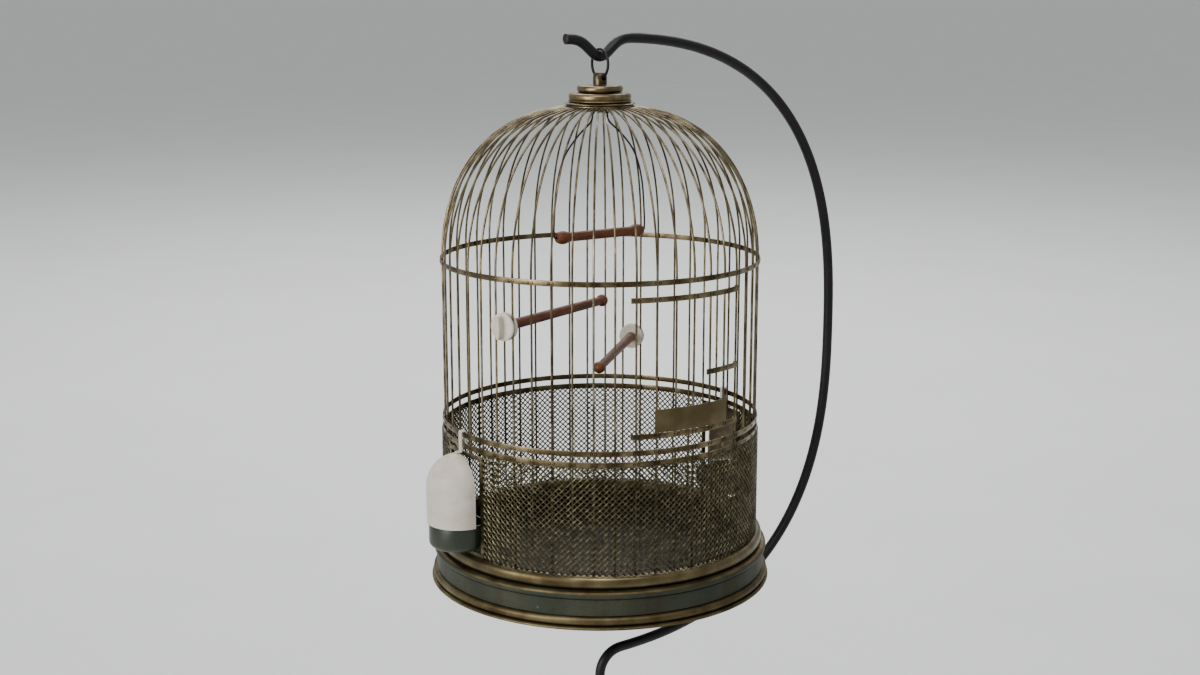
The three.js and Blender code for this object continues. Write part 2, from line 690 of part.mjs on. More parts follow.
function feederCup(side) {
  const top = HOOD_LOW - GAP;
  const cup = without(cupBody(0, top), cupBody(CUP_WALL, top + 1));
  return piece("feeder_cup_" + side, cup, greenPlastic);
}

function feederHook(side) {
  const inY = -(BAND_IN_R * Math.cos(rad(PITCH / 2)) - TOUCH);
  const outY = -(CAGE_R + HOOK_STAND_OFF);
  const footY = HOOD_Y - HOOK_FOOT;
  const seat = GUARD_TOP + GAP;
  const foot = HOOD_TOP + GAP;
  const outline = [
    [inY + HOOK_T, GUARD_TOP - HOOK_DEPTH],
    [inY + HOOK_T, seat + HOOK_T],
    [outY - HOOK_T, seat + HOOK_T],
    [outY - HOOK_T, foot + HOOK_T],
    [footY, foot + HOOK_T],
    [footY, foot],
    [outY, foot],
    [outY, seat],
    [inY, seat],
    [inY, GUARD_TOP - HOOK_DEPTH],
  ];
  const shape = new THREE.Shape(outline.map(([y, z]) => new THREE.Vector2(y, z)));
  const strap = new THREE.ExtrudeGeometry(shape, { depth: HOOK_W, bevelEnabled: false });
  strap.translate(0, 0, -HOOK_W / 2).rotateY(Math.PI / 2).rotateX(Math.PI / 2);
  return piece("feeder_hook_" + side, strap, ivoryPlastic);
}

function feeder(side) {
  const group = new THREE.Group();
  group.add(feederHood(side), feederCup(side), feederHook(side));
  group.rotation.z = rad(PORT_ANGLES[side]);
  return group;
}

// ---- Perches ----
// Each is laid out along +Z, which is then turned to point straight out through the wall.
// The inner disc bears on the bars at its two sides, half a bar's spacing from its middle.
const CLAMP_IN = BAR_R * Math.cos(rad(PITCH / 2)) - BAR_D / 2 - TOUCH;
const CLAMP_OUT = BAR_R + BAR_D / 2 + GAP;
const STUD_TIP = CLAMP_OUT + CLAMP_DISC_T + WING.h - 2;

function studHole(low, high) {
  return turned([[0, low], [STUD_HOLE_R, low], [STUD_HOLE_R, high], [0, high]], 8);
}

function perchDowel(name) {
  const outer = CLAMP_IN - CLAMP_DISC_T - GAP;
  const inner = -PERCH_OVERSHOOT;
  const knob = arcPoints(0, inner + PERCH_KNOB_R, PERCH_KNOB_R, -90, 50, 4).slice(1);
  const neck = inner + 2 * PERCH_KNOB_R + 1;
  const body = [[PERCH_R - 0.8, neck], [PERCH_R, neck + 3], [PERCH_R, outer], [0, outer]];
  const profile = [[0, inner], ...knob, ...body];
  const shaft = turned(profile, 12);
  return piece(name, without(shaft, studHole(outer - STUD_DEPTH, outer + 1)), redWood);
}

function perchDisc(name) {
  const z = CLAMP_IN - CLAMP_DISC_T;
  const r = CLAMP_DISC_R;
  const profile = [[STUD_HOLE_R, z], [r - 0.8, z], [r, z + 0.8], [r, CLAMP_IN], [STUD_HOLE_R, CLAMP_IN]];
  return piece(name, turnedRing(profile, 16), ivoryPlastic);
}

function perchStud(name) {
  const low = CLAMP_IN - CLAMP_DISC_T - GAP - STUD_DEPTH + GAP;
  const high = STUD_TIP;
  return piece(name, turned([[0, low], [STUD_R, low], [STUD_R, high], [0, high]], 8), steel);
}

function perchNut(name) {
  const top = CLAMP_OUT + CLAMP_DISC_T;
  const r = CLAMP_DISC_R;
  const hubR = STUD_HOLE_R + 2;
  const hubTop = top + WING.h;
  const disc = turned([[0, CLAMP_OUT], [r, CLAMP_OUT], [r, top - 0.8], [r - 0.8, top], [0, top]], 16);
  const ridge = box(-WING.w / 2, WING.w / 2, -WING.l / 2, WING.l / 2, top - 0.5, hubTop);
  const hub = turned([[0, top - 0.5], [hubR, top - 0.5], [hubR, hubTop], [0, hubTop]], 8);
  const nut = without(joined(disc, ridge, hub), studHole(CLAMP_OUT - 1, STUD_TIP + GAP));
  return piece(name, nut, ivoryPlastic);
}

function perch(which, angle, z) {
  const name = (part) => "perch_" + which + "_" + part;
  const radial = new THREE.Group();
  radial.add(perchDowel(name("dowel")), perchDisc(name("disc")));
  radial.add(perchStud(name("stud")), perchNut(name("nut")));
  radial.rotation.x = Math.PI / 2;
  const turnedGroup = new THREE.Group();
  turnedGroup.add(radial);
  turnedGroup.rotation.z = rad(angle);
  turnedGroup.position.z = z;
  return turnedGroup;
}

// ---- Swing ----
const SWING_EYE_R = SWING_PIN_R + HINGE_PLAY + SWING_WIRE_R; // middle of the eye's wire
const SWING_PERCH_Z = HANGER_Z - SWING_DROP;

function swingWire(side, sign) {
  const at = (x, z) => new THREE.Vector3(sign * x, 0, z);
  const top = HANGER_Z - SWING_EYE_R;
  const low = SWING_PERCH_Z;
  const leg = new THREE.CatmullRomCurve3([
    at(SWING_EYE_X, top),
    at(SWING_EYE_X + 2.5, top - 8),
    at(SWING_HALF * 0.5, top - 21),
    at(SWING_HALF * 0.78, top - 39),
    at(SWING_HALF * 0.94, top - 65),
    at(SWING_HALF, low + 14),
  ]);
  // The wire's foot turns in on a small radius and enters the end of the perch.
  const foot = [at(SWING_HALF, low + 2), at(SWING_HALF - 0.6, low + 0.6), at(SWING_HALF - 2, low)];
  const tip = at(SWING_PERCH_HALF - SWING_PIN_DEPTH, low);
  const bend = wire([...leg.getSpacedPoints(13), ...foot, tip], SWING_WIRE_R, 4);
  const eye = turnedRing(arcPoints(SWING_EYE_R, 0, SWING_WIRE_R, 0, 360, 4).slice(0, -1), 10);
  eye.rotateY(Math.PI / 2).translate(sign * SWING_EYE_X, 0, HANGER_Z);
  return piece("swing_wire_" + side, joined(bend, eye), blackIron);
}

function swingPerch() {
  const end = SWING_PERCH_HALF;
  const knob = [[SWING_KNOB_R, end - 8], [SWING_KNOB_R, end - 4.5], [SWING_PERCH_R, end]];
  const half = [[SWING_PERCH_R, end - 14], ...knob, [0, end]];
  const mirrored = half.map(([r, z]) => [r, -z]).reverse();
  const boreR = SWING_WIRE_R + GAP;
  const depth = SWING_PIN_DEPTH + 1;
  const bore = new THREE.CylinderGeometry(boreR, boreR, 2 * depth, 8).rotateX(Math.PI / 2);
  const bores = [bore.clone().translate(0, 0, end), bore.clone().translate(0, 0, -end)];
  const body = without(turned([...mirrored, ...half], 12), ...bores);
  return piece("swing_perch", body.rotateY(Math.PI / 2).translate(0, 0, SWING_PERCH_Z), redWood);
}

// ---- The whole object ----
const cage = new THREE.Group();
cage.position.z = DATUM_Z;
cage.add(
  hangingRing(),
  crownPost(),
  crownDisc("crown_upper_disc", UPPER_DISC, UPPER_DISC_Z),
  crownDisc("crown_lower_disc", LOWER_DISC, LOWER_DISC_Z),
  crownFlange(),
  swingHanger(),
  ...barFans(),
  doorStubBars(),
  band("middle_band", 0),
  band("guard_band", GUARD_TOP),
  band("mesh_band", MESH_BAND_TOP),
  meshGuard("mesh_guard_front", 0),
  meshGuard("mesh_guard_back", 180),
  portFrame("right"),
  portFrame("left"),
  bottomRing(),
  seedPan(),
  ...door(),
  feeder("right"),
  feeder("left"),
  perch("upper", UPPER_PERCH.angle, -UPPER_PERCH.drop),
  perch("lower", LOWER_PERCH.angle, GUARD_TOP + LOWER_PERCH.rise),
  swingWire("right", 1),
  swingWire("left", -1),
  swingPerch(),
);

const cageOnStand = new THREE.Group();
cageOnStand.add(basePad(), baseCasting(), baseScrew(), baseWasher(), pole(), coupler(), arm(), cage);

export default cageOnStand;
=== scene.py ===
import bmesh
import bpy
import numpy as np
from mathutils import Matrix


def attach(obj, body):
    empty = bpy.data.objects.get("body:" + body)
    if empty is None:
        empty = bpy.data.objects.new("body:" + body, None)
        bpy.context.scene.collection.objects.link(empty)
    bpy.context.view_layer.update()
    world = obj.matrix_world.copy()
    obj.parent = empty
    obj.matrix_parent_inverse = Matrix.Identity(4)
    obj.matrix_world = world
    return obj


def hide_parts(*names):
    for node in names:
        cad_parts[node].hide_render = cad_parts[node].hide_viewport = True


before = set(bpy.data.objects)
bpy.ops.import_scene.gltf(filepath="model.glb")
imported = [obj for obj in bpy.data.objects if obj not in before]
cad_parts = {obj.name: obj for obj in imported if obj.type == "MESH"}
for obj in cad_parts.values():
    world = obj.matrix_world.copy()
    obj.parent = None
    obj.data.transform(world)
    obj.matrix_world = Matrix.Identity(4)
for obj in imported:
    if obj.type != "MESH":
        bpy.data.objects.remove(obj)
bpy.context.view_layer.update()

# Studio: a pale floor that runs far back, soft daylight from all round, a broad lamp on the left,
# a weaker one above, a large one over the floor behind, and a camera that looks a little down.
def linear(hex_colour):
    """Turns a hex colour as seen on a screen into the linear red, green, blue and alpha of a shader."""
    screen = np.array([int(hex_colour[i:i + 2], 16) for i in (1, 3, 5)]) / 255
    light = np.where(screen <= 0.04045, screen / 12.92, ((screen + 0.055) / 1.055) ** 2.4)
    return (*light, 1.0)


def add(tree, kind, inputs, output=0, **settings):
    """Adds one node with its settings, and returns one of its outputs.

    Each input is a number, a hex colour or another node's output.
    """
    node = tree.nodes.new("ShaderNode" + kind)
    for name, value in settings.items():
        setattr(node, name, value)
    for name, value in inputs.items():
        if isinstance(value, bpy.types.NodeSocket):
            tree.links.new(value, node.inputs[name])
        else:
            node.inputs[name].default_value = linear(value) if isinstance(value, str) else value
    return node.outputs[output] if node.outputs else None


def new_finish(name):
    """An empty material and its node tree, with the place on the object in metres."""
    material = bpy.data.materials.new(name)
    material.use_nodes = True
    tree = material.node_tree
    tree.nodes.clear()
    return material, tree, add(tree, "TexCoord", {}, "Object")


def cloudy(tree, place, per_metre, low, high, detail=4.0, most=1.0):
    """A soft noise over the place: 0 below its low level, rising to most at its high level."""
    noise = add(tree, "TexNoise", {"Vector": place, "Scale": per_metre, "Detail": detail})
    return add(tree, "MapRange", {"Value": noise, "From Min": low, "From Max": high, "To Max": most})


def coloured(tree, colour, *layers):
    """Lays colours over one another: each layer is where it shows, from 0 to 1, and its colour."""
    for shown, over in layers:
        colour = add(tree, "Mix", {0: shown, 6: colour, 7: over}, 2, data_type="RGBA")
    return colour


def surfaced(material, tree, inputs):
    """Ends a material with its one shader, given that shader's inputs."""
    shader = add(tree, "BsdfPrincipled", inputs)
    add(tree, "OutputMaterial", {"Surface": shader})
    return material


floor_mesh = bpy.data.meshes.new("studio_floor")
reach = 220.0
floor_mesh.from_pydata([(-reach, -reach, 0), (reach, -reach, 0), (reach, reach, 0), (-reach, reach, 0)],
                       [], [(0, 1, 2, 3)])
studio_floor = bpy.data.objects.new("studio_floor", floor_mesh)
bpy.context.collection.objects.link(studio_floor)
floor_paint, tree, place = new_finish("matt floor paint")
shade = cloudy(tree, place, 1.5, 0.3, 0.7)
colour = coloured(tree, "#d6d8d6", (shade, "#dadcda"))
floor_mesh.materials.append(surfaced(floor_paint, tree, {"Base Color": colour, "Roughness": 0.7}))

world = bpy.data.worlds.new("daylight")
bpy.context.scene.world = world
world.use_nodes = True
sky = world.node_tree.nodes["Background"]
sky.inputs["Color"].default_value = linear("#e2e6e6")
sky.inputs["Strength"].default_value = 0.72

for lamp_name, centre, size, power in (
    ("lamp_left", (-2.1, -0.35, 1.75), 1.2, 44.0),
    ("lamp_above", (-0.7, -0.9, 3.3), 1.3, 34.0),
    ("lamp_floor", (3.4, 5.2, 7.0), 6.0, 700.0),
):
    light = bpy.data.lights.new(lamp_name, "AREA")
    light.size = size
    light.energy = power
    lamp = bpy.data.objects.new(lamp_name, light)
    bpy.context.collection.objects.link(lamp)
    lamp.location = centre
    target = (3.4, 5.3, 0.0) if lamp_name == "lamp_floor" else (0.0, 0.0, 1.4)
    aim = np.array(target) - np.array(centre)
    turn = np.arctan2(aim[1], aim[0]) - np.pi / 2
    tilt = np.arctan2(-aim[2], np.hypot(aim[0], aim[1]))
    lamp.rotation_euler = (np.pi / 2 - tilt, 0, turn)

camera_data = bpy.data.cameras.new("camera")
camera_data.lens = 50
camera_data.sensor_width = 36
camera = bpy.data.objects.new("camera", camera_data)
bpy.context.collection.objects.link(camera)
camera.location = (-0.8636, -1.2852, 1.697)
camera.rotation_euler = (np.radians(90 - 11.92), 0, np.radians(-33.9))
bpy.context.scene.camera = camera


# Bars: fifty drawn brass wires, 2 mm thick, bent over the dome and soldered to a collar at the
# crown and a strip in the bottom ring. Those over the feeder ports and the door are cut short.
DATUM = 1450.0  # millimetres from the floor to the top of the middle band, where heights count from
BAR_COUNT = 50
PITCH = 360 / BAR_COUNT
BAR_R = 147.8
DOME_RISE = 139.0
DOME_FULLNESS = 2.635
WIRE_TOP_R = 27.0  # where the bars end, under the crown
BAR_FOOT = -273.7
SILL = -150.0  # the bars under the door end at the guard band
LINTEL = -5.0  # and those above it at the middle band
PORT_TOP = -171.6


def put(name, parts, material, crease=38, along=None, grime_and_shade=None):
    """Makes one object of grids of points in millimetres, each rows by columns by 3.

    Neighbouring points of a grid become a square, and points that meet are merged, which closes
    seams and poles. along and grime are one array for each grid: the wood's own coordinates in
    metres, and how much dirt and painted shade lie there, from 0 to 1.
    """
    points = np.concatenate([part.reshape(-1, 3) for part in parts]) / 1000
    faces = []
    start = 0
    for part in parts:
        rows, columns = part.shape[:2]
        index = start + np.arange(rows * columns).reshape(rows, columns)
        square = np.stack([index[:-1, :-1], index[:-1, 1:], index[1:, 1:], index[1:, :-1]], axis=-1)
        faces.append(square.reshape(-1, 4))
        start += rows * columns
    faces = np.concatenate(faces).astype(np.int32)
    mesh = bpy.data.meshes.new(name)
    mesh.vertices.add(len(points))
    mesh.vertices.foreach_set("co", points.astype(np.float32).ravel())
    mesh.loops.add(faces.size)
    mesh.loops.foreach_set("vertex_index", faces.ravel())
    mesh.polygons.add(len(faces))
    mesh.polygons.foreach_set("loop_start", np.arange(0, faces.size, 4, dtype=np.int32))
    mesh.update(calc_edges=True)
    for key, kind, values in (("along", "FLOAT_VECTOR", along), ("grime_and_shade", "FLOAT", grime_and_shade)):
        if values is not None:
            flat = np.concatenate([np.asarray(v, dtype=np.float32).ravel() for v in values])
            layer = mesh.attributes.new(key, kind, "POINT")
            layer.data.foreach_set("vector" if kind == "FLOAT_VECTOR" else "value", flat)
    work = bmesh.new()
    work.from_mesh(mesh)
    bmesh.ops.remove_doubles(work, verts=work.verts, dist=2e-6)
    bmesh.ops.dissolve_degenerate(work, edges=work.edges, dist=1e-6)
    work.to_mesh(mesh)
    work.free()
    mesh.polygons.foreach_set("use_smooth", np.ones(len(mesh.polygons), dtype=bool))
    mesh.set_sharp_from_angle(angle=np.radians(crease))
    mesh.materials.append(material)
    made = bpy.data.objects.new(name, mesh)
    bpy.context.collection.objects.link(made)
    return made


def at_angle(radius, degrees, z):
    """Points round the cage: an angle from the front towards the arm's side, and a height."""
    a = np.radians(degrees)
    radius, a, z = np.broadcast_arrays(radius, a, z)
    return np.stack([radius * np.sin(a), -radius * np.cos(a), DATUM + z], axis=-1)


def rod(path, side, radius, sides=10, ends=0.5):
    """A round rod along a path: circles across it, from a given side direction, with rounded ends.

    Each point is path + radius * (cos * side + sin * (tangent x side)). The two end circles
    shrink to the middle over a length of ends * radius.
    """
    path = np.asarray(path, dtype=float)
    tangent = np.gradient(path, axis=0)
    tangent /= np.linalg.norm(tangent, axis=1, keepdims=True)
    side = np.broadcast_to(np.asarray(side, dtype=float), path.shape)
    side = side - np.sum(side * tangent, axis=1, keepdims=True) * tangent
    side /= np.linalg.norm(side, axis=1, keepdims=True)
    across = np.cross(tangent, side)
    radius = np.broadcast_to(radius, len(path)).astype(float)
    bend = np.linspace(0, np.pi / 2, 4)
    first_back = ends * radius[0] * (1 - np.sin(bend))[:, None]
    last_back = ends * radius[-1] * (1 - np.sin(bend))[::-1][:, None]
    starts = path[0] + tangent[0] * (ends * radius[0] - first_back)
    finishes = path[-1] - tangent[-1] * (ends * radius[-1] - last_back)
    inner = slice(1, -1)
    line = np.concatenate([starts, path[inner], finishes])
    wide = np.concatenate([radius[0] * np.sin(bend), radius[inner], radius[-1] * np.sin(bend)[::-1]])
    side, across = (np.vstack([np.repeat(v[:1], 4, 0), v[inner], np.repeat(v[-1:], 4, 0)])
                    for v in (side, across))
    turn = np.linspace(0, 2 * np.pi, sides + 1)[None, :, None]
    rim = np.cos(turn) * side[:, None, :] + np.sin(turn) * across[:, None, :]
    return line[:, None, :] + wide[:, None, None] * rim


def turned(profile, middle=(0.0, 0.0, 0.0), steps=96, close=False):
    """A round piece about the upright axis: each [radius, height] of the profile goes once round.

    The profile runs upwards on the outside. With close, it comes back to its own start.
    """
    profile = np.asarray(profile, dtype=float)
    if close:
        profile = np.vstack([profile, profile[:1]])
    turn = np.linspace(0, 2 * np.pi, steps + 1)[None, :]
    r, z = profile[:, :1], profile[:, 1:]
    x, y = r * np.cos(turn), r * np.sin(turn)
    return np.stack([x, y, z + 0 * turn], axis=-1) + np.asarray(middle)


def rounded(points, radius, steps=4):
    """Rounds every corner of a closed outline of [a, b] points, with a short curve at each corner."""
    points = np.asarray(points, dtype=float)
    before = np.roll(points, 1, axis=0) - points
    after = np.roll(points, -1, axis=0) - points
    long_before = np.linalg.norm(before, axis=1, keepdims=True)
    long_after = np.linalg.norm(after, axis=1, keepdims=True)
    cut = np.minimum(radius, 0.49 * np.minimum(long_before, long_after))
    a = points + before / long_before * cut
    b = points + after / long_after * cut
    t = np.linspace(0, 1, steps + 1)[None, :, None]
    curve = (1 - t) ** 2 * a[:, None] + 2 * t * (1 - t) * points[:, None] + t ** 2 * b[:, None]
    return curve.reshape(-1, 2)


def brass_like(name, body, dark, bright, patch, rough, metallic=0.9, spots=0.35):
    """Old metal: a body colour that darkens in cloudy patches, bright where it is rubbed.

    Soft noise, patch clouds to a metre, mixes body and dark; one 4.5 times as fine brings in
    bright, and one of 2 mm dark spots. Dirt and painted shade lie where the grime attribute says,
    and roughness follows the large clouds.
    """
    material, tree, place = new_finish(name)
    patches = cloudy(tree, place, patch, 0.35, 0.68)
    streaks = cloudy(tree, place, patch * 4.5, 0.42, 0.7, 6.0, most=0.65)
    fine = cloudy(tree, place, 520, 0.52, 0.72, 3.0, most=spots)
    # near black, for dirt and for painted shade, laid on last
    dirt_and_shade = add(tree, "Attribute", {}, "Fac", attribute_name="grime_and_shade")
    colour = coloured(tree, body, (patches, dark), (streaks, bright), (fine, dark), (dirt_and_shade, "#1d1710"))
    roughness = add(tree, "MapRange", {"Value": patches, "To Min": rough - 0.08, "To Max": rough + 0.14})
    grain = add(tree, "TexNoise", {"Vector": place, "Scale": 900.0, "Detail": 3.0})
    bump = add(tree, "Bump", {"Height": grain, "Strength": 0.18, "Distance": 0.0003})
    return surfaced(material, tree, {"Base Color": colour, "Metallic": metallic,
                                     "Roughness": roughness, "Normal": bump})


bar_brass = brass_like("tarnished brass wire", "#5f533c", "#372c1e", "#a39473", 16, 0.36)
chance = np.random.default_rng(5)


def bar_path(k, low, high=None):
    """One bar from its lower end, up the wall, then over the dome to the crown.

    On the dome the radius is BAR_R * cos(t) ** (2 / fullness) and the height DOME_RISE * sin(t).
    A slow, small wander to the side stands for hand bending.
    """
    if high is None:
        crown_t = np.arccos((WIRE_TOP_R / BAR_R) ** (DOME_FULLNESS / 2))
        t = np.linspace(0, crown_t, 26)
        wall = np.linspace(low, 0, 8)[:-1]
        radius = np.concatenate([np.full(7, BAR_R), BAR_R * np.cos(t) ** (2 / DOME_FULLNESS)])
        height = np.concatenate([wall, DOME_RISE * np.sin(t)])
    else:
        height = np.linspace(low, high, 6)
        radius = np.full(6, BAR_R)
    wander = 0.09 * np.sin(height / 41 + chance.uniform(0, 6)) * np.clip(radius / BAR_R, 0, 1)
    return at_angle(radius, k * PITCH + np.degrees(wander / BAR_R), height)


def bar(k, low, high=None):
    """The wire itself, its circles counted from the direction along the wall."""
    a = np.radians(k * PITCH)
    return rod(bar_path(k, low, high), (np.cos(a), np.sin(a), 0), 1.0, 8)


bars = []
for k in range(BAR_COUNT):
    turned_by = min(k, BAR_COUNT - k)
    from_port = abs(turned_by * PITCH - 90)
    if turned_by <= 2:
        bars += [bar(k, LINTEL), bar(k, BAR_FOOT, SILL)]
    elif from_port < 9.8:
        bars.append(bar(k, PORT_TOP))
    else:
        bars.append(bar(k, BAR_FOOT))
collar = rounded([[24.2, 137.7], [30.8, 137.7], [30.8, 139.9], [24.2, 139.9]], 0.9)
foot_strip = rounded([[146.6, -272.8], [149.0, -272.8], [149.0, -264.2], [146.6, -264.2]], 0.6)
bars.append(turned(collar, (0, 0, DATUM), 100, close=True))
bars.append(turned(foot_strip, (0, 0, DATUM), 150, close=True))
cage_bars = put("cage_bars", bars, bar_brass)
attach(cage_bars, "cage")
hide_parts(*[f"bar_fan_{n:02d}" for n in range(1, 11)], "bar_stubs_under_door")


# Bands: thin brass strips bent round outside the bars at three heights. Two small spot welds
# mark each bar, with painted shade round their feet, and painted shade lies along the strip's lower
# edge.
BAND_H = 5.0
BAND_IN, BAND_OUT = 149.1, 150.0
band_brass = brass_like("worn brass strip", "#5d5036", "#3a2e1b", "#a39472", 14, 0.34)


def section(inner, outer, low, high, edge=0.3):
    """A strip's cross-section: a rectangle with rounded corners, going down its outer side."""
    return rounded([[outer, high], [outer, low], [inner, low], [inner, high]], edge, 3)


def strip(outline, start, end, steps=None):
    """A cross-section of [radius, height] points carried round the wall between two angles.

    The ends are closed by drawing the section in to its own middle.
    """
    steps = steps or max(2, int(abs(end - start) / 1.8))
    outline = np.vstack([outline, outline[:1]])
    middle = outline[:-1].mean(axis=0)
    angles = np.linspace(start, end, steps + 1)
    rows = at_angle(outline[None, :, 0], angles[:, None], outline[None, :, 1])
    if end - start >= 360:
        return rows
    first, last = (at_angle(np.full((1, len(outline)), middle[0]), a, middle[1]) for a in (start, end))
    return np.concatenate([first, rows, last])


def weld_spots(angles, z):
    """Flattened beads on the strip's face, two for each bar, 3.6 mm apart."""
    r = np.array([0, 1.45, 1.2, 0.95, 0.6, 0])[:, None]
    turn = np.linspace(0, 2 * np.pi, 9)[None, :]
    out = BAND_OUT - 0.08 + 0.42 * np.sqrt(1 - (r / 1.5) ** 2)
    out[0] = BAND_OUT - 0.2
    sideways = np.degrees(r * np.cos(turn) / BAND_OUT)
    up = z + r * np.sin(turn)
    return [at_angle(out, a + gap + sideways, up) for a in angles for gap in (-0.68, 0.68)]


# painted shade: a dark ring over the flank of each weld, its top left clear
weld_ring_shade = np.repeat([[1.0], [1.0], [1.0], [0.9], [0.0], [0.0]], 9, axis=1)  # a dark ring round each
share_up = section(BAND_IN, BAND_OUT, 0, 1)[:, 1]
# painted shade over the lower third of each strip
low_edge_shade = 0.45 * np.clip(1 - 3 * np.append(share_up, share_up[0]), 0, 1)
for band_name, top in (("middle_band", 0.0), ("guard_band", -150.0), ("mesh_band", -160.0)):
    hoop = strip(section(BAND_IN, BAND_OUT, top - BAND_H, top), -180, 180, 200)
    spots = weld_spots(np.arange(BAR_COUNT) * PITCH, top - BAND_H / 2)
    dirt_and_shade = [np.tile(low_edge_shade, (len(hoop), 1))] + [weld_ring_shade] * len(spots)
    hoop_piece = put(band_name + "_strip", [hoop] + spots, band_brass, grime_and_shade=dirt_and_shade)
    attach(hoop_piece, "cage")
    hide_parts(band_name)


# Mesh guard: bronze wire woven square and set on its corner, round the lower wall in two halves
# between the feeder ports. Its edges are caught by the mesh band, the frames and the bottom ring.
MESH_LOW, MESH_HIGH = -264.0, -165.0
MESH_R = 150.0
DIAMONDS = 168  # openings round the whole cage
DIAMOND_H = 5.5
MESH_HALF = 78.9  # degrees each side of a half's middle
mesh_bronze = brass_like("dark bronze wire", "#5c563d", "#37311f", "#9a9070", 40, 0.34)


def woven_wires(middle, hand):
    """All wires of one hand in one half of the guard.

    A wire climbs one opening while it goes one opening round, and steps in and out by 0.5 mm at
    each crossing. Its place along the wall is clipped to the half's two edges. Returns the wires
    and their painted shade, which lies where a wire passes behind another.
    """
    step = 360 / DIAMONDS
    crossings = int((MESH_HIGH - MESH_LOW) / (DIAMOND_H / 2)) + 1
    row = np.arange(crossings + 1)
    climb = np.minimum(MESH_LOW + row * DIAMOND_H / 2, MESH_HIGH)
    over = (-1.0) ** row * 0.5 * hand
    count = int(2 * MESH_HALF / step)
    wires, dirt_and_shade = [], []
    for n in range(-crossings // 2 - 1, count + crossings // 2 + 2):
        angle = -MESH_HALF + (n + hand * row / 2) * step
        inside = np.abs(angle) <= MESH_HALF
        if inside.sum() < 3:
            continue
        radial = np.radians(middle + angle[inside])
        path = at_angle(MESH_R + over[inside], middle + angle[inside], climb[inside])
        out = np.stack([np.sin(radial), -np.cos(radial), 0 * radial], axis=-1)
        wires.append(rod(path, out, 0.68, 5, ends=0.2))
        # painted shade: 0.8 where the wire passes behind the other hand, 0.1 elsewhere
        behind = np.where(over[inside] < 0, 0.8, 0.1)
        dirt_and_shade.append(np.repeat(np.pad(behind, 3, mode="edge")[:, None], 6, axis=1))
    return wires, dirt_and_shade


for half_name, middle in (("front", 0), ("back", 180)):
    climbing, falling = woven_wires(middle, 1), woven_wires(middle, -1)
    guard = put("mesh_weave_" + half_name, climbing[0] + falling[0], mesh_bronze, crease=80,
                grime_and_shade=climbing[1] + falling[1])
    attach(guard, "cage")
    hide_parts("mesh_guard_" + half_name)


# Port frames: a bent bronze strip round each feeder's opening in the mesh, lapped at its corners.
FRAME_IN, FRAME_OUT = 149.4, 150.6
FRAME_TOP = -167.6
FRAME_LOW = -263.7
FRAME_W = 4.0
FRAME_HALF = 11.56  # degrees
FRAME_POST = 1.53
for side, middle in (("right", 90), ("left", -90)):
    posts = section(FRAME_IN, FRAME_OUT - 0.15, FRAME_LOW, FRAME_TOP)
    rails = [section(FRAME_IN, FRAME_OUT, FRAME_TOP - FRAME_W, FRAME_TOP),
             section(FRAME_IN, FRAME_OUT, FRAME_LOW, FRAME_LOW + FRAME_W)]
    strips = [strip(posts, middle - FRAME_HALF, middle - FRAME_HALF + FRAME_POST),
              strip(posts, middle + FRAME_HALF - FRAME_POST, middle + FRAME_HALF)]
    strips += [strip(rail, middle - FRAME_HALF, middle + FRAME_HALF) for rail in rails]
    frame_piece = put("port_surround_" + side, strips, mesh_bronze)
    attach(frame_piece, "cage")
    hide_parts("port_frame_" + side)


# Bottom ring: brass sheet rolled to a fat bead outside the bars' feet, with a skirt that the
# seed pan slides over. Painted shade lies under the bead.
RING_TOP = -264.0
RING_LOW = -275.7
rolled_brass = brass_like("rolled brass sheet", "#5b5036", "#3d321d", "#8f8260", 7, 0.36, spots=0.2)


def squarish(t, power):
    """Cosine and sine of t, their sizes raised to a power: below 1 it fills an oval's corners."""
    c, s = np.cos(t), np.sin(t)
    return np.sign(c) * np.abs(c) ** power, np.sign(s) * np.abs(s) ** power


def bead(middle_r, middle_z, half_w, half_h, start=90, end=-90, fullness=2.6, steps=14):
    """The outside of a rolled edge, a squarish half oval, from its top (90) down to its foot (-90)."""
    across, up = squarish(np.radians(np.linspace(start, end, steps)), 2 / fullness)
    return np.stack([middle_r + half_w * across, middle_z + half_h * up], axis=-1)


ring_outline = np.vstack([
    [[149.75, -287.6], [150.8, -287.6], [150.85, RING_LOW + 0.1]],
    bead(151.2, -269.85, 4.75, 5.75)[::-1],
    [[149.75, RING_TOP - 0.1]],
])
ring_steps = 180
ring_rows = turned(ring_outline, (0, 0, DATUM), ring_steps, close=True)
# painted shade on the bead's underside, full 3 mm down and on the skirt below
under = np.clip((-272.5 - ring_rows[:, :, 2] + DATUM) / 3, 0, 1) * 0.8
bottom_bead = put("bottom_bead", [ring_rows], rolled_brass, grime_and_shade=[under])
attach(bottom_bead, "cage")
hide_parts("bottom_ring")


# Seed pan: a spun sheet pan under the cage. Its wall keeps a worn grey-green enamel, while the
# bead and lip at its foot and the rolled rim's top are rubbed down to bare brass.
PAN_TOP = -276.0
PAN_FLOOR = -300.0
PAN_LOW = -310.8


